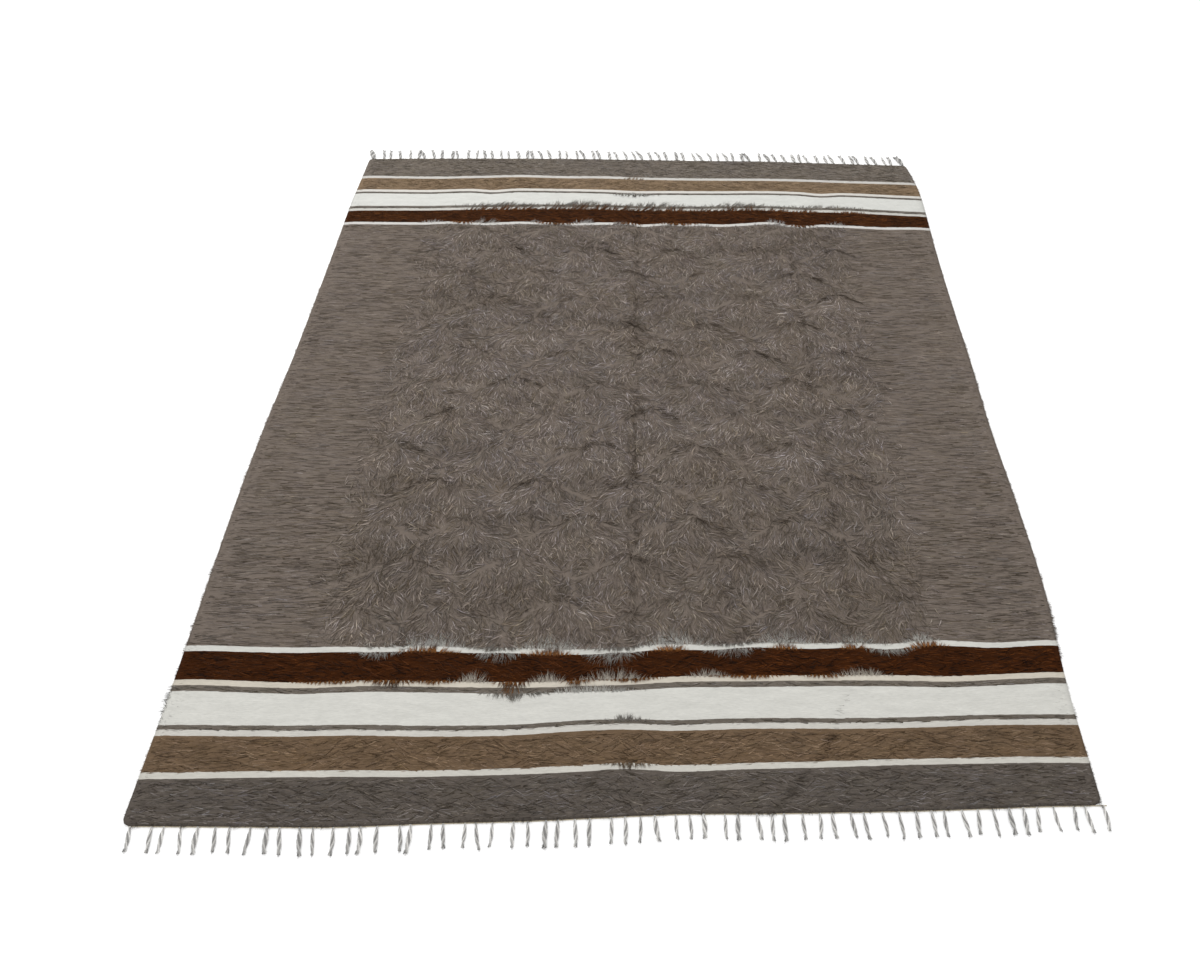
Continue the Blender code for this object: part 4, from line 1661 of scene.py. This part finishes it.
@dataclass
class TasselShape:
    """One tassel, modelled once along +X: plies twisted together, with a frayed tip."""

    seed: int
    twist_turns: float = 1.1
    split: float = 0.55
    sides: int = 4
    rings: int = 12
    fibres: int = 6
    fibre_rings: int = 4
    fibre_sides: int = 3
    ply_radius: float = 0.0015
    ply_turn: float = 0.0019
    ply_height: float = 0.0024
    fibre_height: float = 0.0022
    fibre_radius: float = 0.00065
    ply_tones: tuple[float, ...] = (1.0, 0.45, 0.85, 0.25)
    points: list[Array] = field(default_factory=list)
    faces: list[tuple[int, ...]] = field(default_factory=list)
    tones: list[float] = field(default_factory=list)
    vertices: Array = field(init=False)

    def __post_init__(self) -> None:
        """Models the plies and the fibres of the tip and joins them."""
        chance = random.Random(self.seed)
        for ply, tone in enumerate(self.ply_tones):
            self._add(*self._ply(ply, chance), self.sides, tone)
        for _ in range(self.fibres):
            self._add(*self._fibre(chance), self.fibre_sides, chance.uniform(0.5, 1.0))
        self.vertices = np.vstack(self.points)

    def _ply(self, ply: int, chance: random.Random) -> tuple[Array, Array]:
        """The line of one ply and how thick it is: twisted with its fellows, and parted at the tip."""
        phase = 2 * math.pi * ply / len(self.ply_tones)
        away = (ply - 1.5) * 0.0017 + chance.uniform(-0.0012, 0.0012)
        t = np.arange(self.rings) / (self.rings - 1)
        angle = phase + 2 * math.pi * self.twist_turns * t
        loose = np.maximum(0.0, (t - self.split) / (1 - self.split))
        swell = 0.55 + 0.75 * smooth_step(t / 0.45)
        turn = self.ply_turn * swell * (1 - 0.4 * loose)
        across = np.cos(angle) * turn + away * loose
        line = np.column_stack([t, across, self.ply_height + np.sin(angle) * turn * 0.8])
        return line, self.ply_radius * swell * (1 - 0.30 * loose)

    def _fibre(self, chance: random.Random) -> tuple[Array, Array]:
        """The line of one loose fibre of the frayed tip and how thick it is."""
        start = chance.uniform(0.72, 0.92)
        reach = chance.uniform(0.12, 0.24)
        away = chance.uniform(-0.0055, 0.0055)
        s = np.arange(self.fibre_rings) / (self.fibre_rings - 1)
        line = np.column_stack([start + reach * s, away * s * s, self.fibre_height * (1 - 0.4 * s)])
        return line, self.fibre_radius * (1 - 0.7 * s)

    def _add(self, line: Array, radii: Array, sides: int, tone: float) -> None:
        """Joins one tube to the tassel, from a cylinder cut across and drawn onto its line."""
        deselect_all()
        bpy.ops.mesh.primitive_cylinder_add(vertices=sides, radius=1.0, depth=1.0, end_fill_type="NGON")
        item = bpy.context.object
        last = len(line) - 1
        cut_across(item, [k / last - 0.5 for k in range(1, last)])
        tube, faces = take_mesh(item)
        ring = np.round((tube[:, 2] + 0.5) * last).astype(int)
        section = np.column_stack([np.zeros(len(tube)), tube[:, :2] * radii[ring, None]])
        self.faces += [tuple(len(self.tones) + v for v in face) for face in faces]
        self.points.append(line[ring] + section)
        self.tones += [tone] * len(tube)


@dataclass(frozen=True)
class FringePlan:
    """One end's row of tassels, the same as in the solid that it stands for, with its leans in degrees."""

    end: End
    node: str
    count: int
    first: float
    last: float
    first_lean: float
    last_lean: float
    seed: int
    hook: float
    fullness: float
    bunched: float = 1.0
    length: float = 0.054
    jitter: float = 0.006
    lean: float = 5.0
    curl: float = 0.05


@dataclass
class Fringe:
    """The cream cord along one end, and the tassels knotted from it."""

    outline: Outline
    plan: FringePlan
    finish: bpy.types.Material
    clearance: float = 0.0003
    cord_width: float = 0.0024
    cord_height: float = 0.0024
    cord_overhang: float = 0.009
    cord_sides: int = 8
    cord_colour: str = "#a89d87"
    twist_pitch: float = 0.0075
    twist_depth: float = 0.16
    pale_yarn: str = "#dcdad6"
    grey_yarn: str = "#605f5e"

    def _tassels(self, shapes: list[TasselShape]) -> bpy.types.Object:
        """Bends a copy of a tassel along each one's own line, and joins them all."""
        plan = self.plan
        chance = random.Random(plan.seed)
        wild = random.Random(plan.seed + 100)
        pale, grey = linear(self.pale_yarn), linear(self.grey_yarn)
        points, faces, colours = [], [], []
        count = 0
        for number in range(plan.count):
            share = number / (plan.count - 1)
            across = plan.first + (plan.last - plan.first) * share
            across += chance.uniform(-plan.jitter, plan.jitter)
            jitter = math.radians(plan.lean)
            lean = math.radians(plan.first_lean)
            lean += (math.radians(plan.last_lean) - math.radians(plan.first_lean)) * share
            lean += chance.uniform(-jitter, jitter)
            curl = chance.uniform(-plan.curl, plan.curl)
            length = plan.length * chance.uniform(0.9, 1.06)
            curl -= plan.hook * max(0.0, wild.uniform(-0.5, 1.0))
            shape = wild.choice(shapes)
            flip = wild.choice((-1, 1))
            fat = plan.fullness * wild.uniform(0.8, 1.2)
            if number in (0, plan.count - 1):
                fat *= plan.bunched
            t, away, up = shape.vertices.T
            wave = 0.0016 * np.sin(t * wild.uniform(3, 6) + wild.uniform(0, 6)) * t
            reach = length * t
            root_y = float(self.outline.end_edge(plan.end, np.array([across]))[0])
            root_y += plan.end.value * (self.clearance + self.cord_width * 0.6)
            x = across + (reach * math.tan(lean) + curl * length * t * t + wave) + away * flip * fat
            y = root_y + plan.end.value * (reach * math.cos(lean))
            points.append(np.column_stack([x, y, np.maximum(up * fat, 0.00015)]))
            faces += [tuple(v + count for v in face) for face in shape.faces]
            count += len(t)
            tone = np.array(shape.tones) * wild.uniform(0.6, 1.0)
            colours.append(grey + (pale - grey) * np.clip(tone, 0, 1)[:, None])
        name = "tassels_" + plan.end.name.lower()
        mesh = bpy.data.meshes.new(name)
        mesh.from_pydata(np.vstack(points).tolist(), [], faces)
        paint(mesh, np.vstack(colours))
        item = add_object(name, mesh)
        edit_all(item)
        return self._finished(item)

    def _finished(self, item: bpy.types.Object) -> bpy.types.Object:
        """Turns the faces of the edited piece outwards and gives it the yarn's finish."""
        face_outwards()
        item.data.shade_smooth()
        item.data.materials.append(self.finish)
        LOG.info("%s: %d faces", item.name, len(item.data.polygons))
        return item

    def _cord(self) -> bpy.types.Object:
        """The end cord: a grid rolled into a bar, whose swelling turns as it goes along."""
        plan = self.plan
        begin, finish = plan.first - self.cord_overhang, plan.last + self.cord_overhang
        rings = int((finish - begin) / self.twist_pitch) * 3
        item, u, v = add_grid("end_cord_" + plan.end.name.lower(), rings, self.cord_sides)
        x = begin + (finish - begin) * (u + 0.5)
        angle = 2 * math.pi * (v + 0.5)
        swell = 1 + self.twist_depth * np.cos(2 * (angle - math.pi * (x - begin) / self.twist_pitch))
        middle = self.outline.end_edge(plan.end, x)
        middle = middle + plan.end.value * (self.clearance + self.cord_width / 2)
        y = middle - np.cos(angle) * self.cord_width / 2.6 * swell
        z = self.cord_height / 2 + np.sin(angle) * self.cord_height / 2.3 * swell
        item.data.vertices.foreach_set("co", np.column_stack([x, y, np.maximum(z, 0.0001)]).ravel())
        paint(item.data, linear(self.cord_colour))
        edit_all(item)
        bpy.ops.mesh.remove_doubles(threshold=0.00005)
        bpy.ops.mesh.select_all(action="DESELECT")
        bpy.ops.mesh.select_non_manifold()
        bpy.ops.mesh.edge_face_add()
        return self._finished(item)

    def build(self, shapes: list[TasselShape]) -> list[bpy.types.Object]:
        """Builds the cord and its tassels."""
        return [self._cord(), self._tassels(shapes)]


@dataclass(frozen=True)
class Studio:
    """The white sweep, the soft lights and the camera."""

    photo_size: tuple[int, int] = (1200, 957)
    focal_pixels: float = 1072.5
    pitch: float = math.radians(46.012)
    roll: float = math.radians(1.458)
    yaw: float = math.radians(2.040)
    eye: tuple[float, float, float] = (0.0431, -2.1824, 1.9441)
    centre_pixel: Pair = (675.2, 475.9)
    sensor: float = 36.0
    floor_size: float = 60.0
    floor_grey: float = 0.93
    sky_strength: float = 1.12
    lamp_size: Pair = (4.0, 3.0)
    lamp_power: float = 70.0
    lamp_place: tuple[float, float, float] = (-1.6, 2.4, 3.0)
    lamp_aim: tuple[float, float, float] = (0.0, 0.3, 0.0)

    def camera(self) -> None:
        """Sets the camera where the photograph was taken from."""
        wide, high = self.photo_size
        data = bpy.data.cameras.new("photo_camera")
        data.sensor_width = self.sensor
        data.lens = self.sensor * self.focal_pixels / wide
        data.shift_x = (wide / 2 - self.centre_pixel[0]) / wide
        data.shift_y = (self.centre_pixel[1] - high / 2) / wide
        data.clip_end = 100.0
        item = add_object("photo_camera", data)
        level = Vector((math.cos(self.yaw), -math.sin(self.yaw), 0.0))
        ahead, down = math.cos(self.pitch), math.sin(self.pitch)
        forward = Vector((math.sin(self.yaw) * ahead, math.cos(self.yaw) * ahead, -down))
        upright = level.cross(forward)
        right = math.cos(self.roll) * level + math.sin(self.roll) * upright
        top = -math.sin(self.roll) * level + math.cos(self.roll) * upright
        turn = Matrix((right, top, -forward)).transposed().to_4x4()
        item.matrix_world = Matrix.Translation(self.eye) @ turn
        bpy.context.scene.camera = item

    def sweep(self) -> None:
        """Lays the white floor."""
        deselect_all()
        bpy.ops.mesh.primitive_plane_add(size=self.floor_size, location=(0, 0, 0))
        floor = bpy.context.object
        floor.name = "white_floor"
        nodes = Nodes("white_paper")
        nodes.surface((self.floor_grey, self.floor_grey, self.floor_grey, 1.0), 0.95, specular=0.0)
        floor.data.materials.append(nodes.material)

    def lights(self) -> None:
        """Fills the studio with even light and adds one broad lamp over the back end."""
        world = bpy.data.worlds.new("white_studio")
        world.use_nodes = True
        sky = world.node_tree.nodes["Background"].inputs
        sky["Color"].default_value = (1.0, 1.0, 1.0, 1.0)
        sky["Strength"].default_value = self.sky_strength
        bpy.context.scene.world = world
        data = bpy.data.lights.new("broad_lamp", "AREA")
        data.shape = "RECTANGLE"
        data.size, data.size_y = self.lamp_size
        data.energy = self.lamp_power
        lamp = add_object("broad_lamp", data)
        lamp.location = self.lamp_place
        aim = Vector(self.lamp_aim) - lamp.location
        lamp.rotation_euler = aim.to_track_quat("-Z", "Y").to_euler()

    def build(self) -> None:
        """Sets up the whole studio."""
        bpy.context.scene.view_settings.view_transform = "Standard"
        self.sweep()
        self.lights()
        self.camera()


def ride_and_slot(item: bpy.types.Object, slot: str, *nodes: str) -> None:
    """Lets a piece ride on the blanket's one body, in place of any nodes named, and logs the slot that it is
    meant for.
    """
    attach(item, "root")
    if nodes:
        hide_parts(*nodes)
    LOG.info("%s rides on root as %s", item.name, slot)


def main() -> None:
    """Builds the studio and the blanket's pieces in order, and reports each one."""
    logging.basicConfig(level=logging.INFO, format="%(message)s")
    Studio().build()
    outline = Outline()
    plan = BandPlan(outline)
    brushwork = Brushwork(outline)
    relief = Relief(outline, brushwork)
    ground = Ground(outline, plan, relief).build()
    ride_and_slot(ground, "pile", "blanket")
    hair = Pile(outline, plan, brushwork, HeightMap(relief)).build()
    for item in hair:
        ride_and_slot(item, "pile")
    shapes = [TasselShape(seed) for seed in (1, 2, 3, 4)]
    yarn = YarnFinish().material()
    for fringe_plan in (
        FringePlan(End.FRONT, "fringe_front", 61, -0.934, 0.930, 9.0, -3.0, 200, 0.0, 1.0),
        FringePlan(End.BACK, "fringe_back", 64, -0.912, 0.932, -4.0, -9.0, 378, 0.22, 1.3, 1.9),
    ):
        for item in Fringe(outline, fringe_plan, yarn).build(shapes):
            ride_and_slot(item, "fringe", fringe_plan.node)


if __name__ == "__main__":
    main()
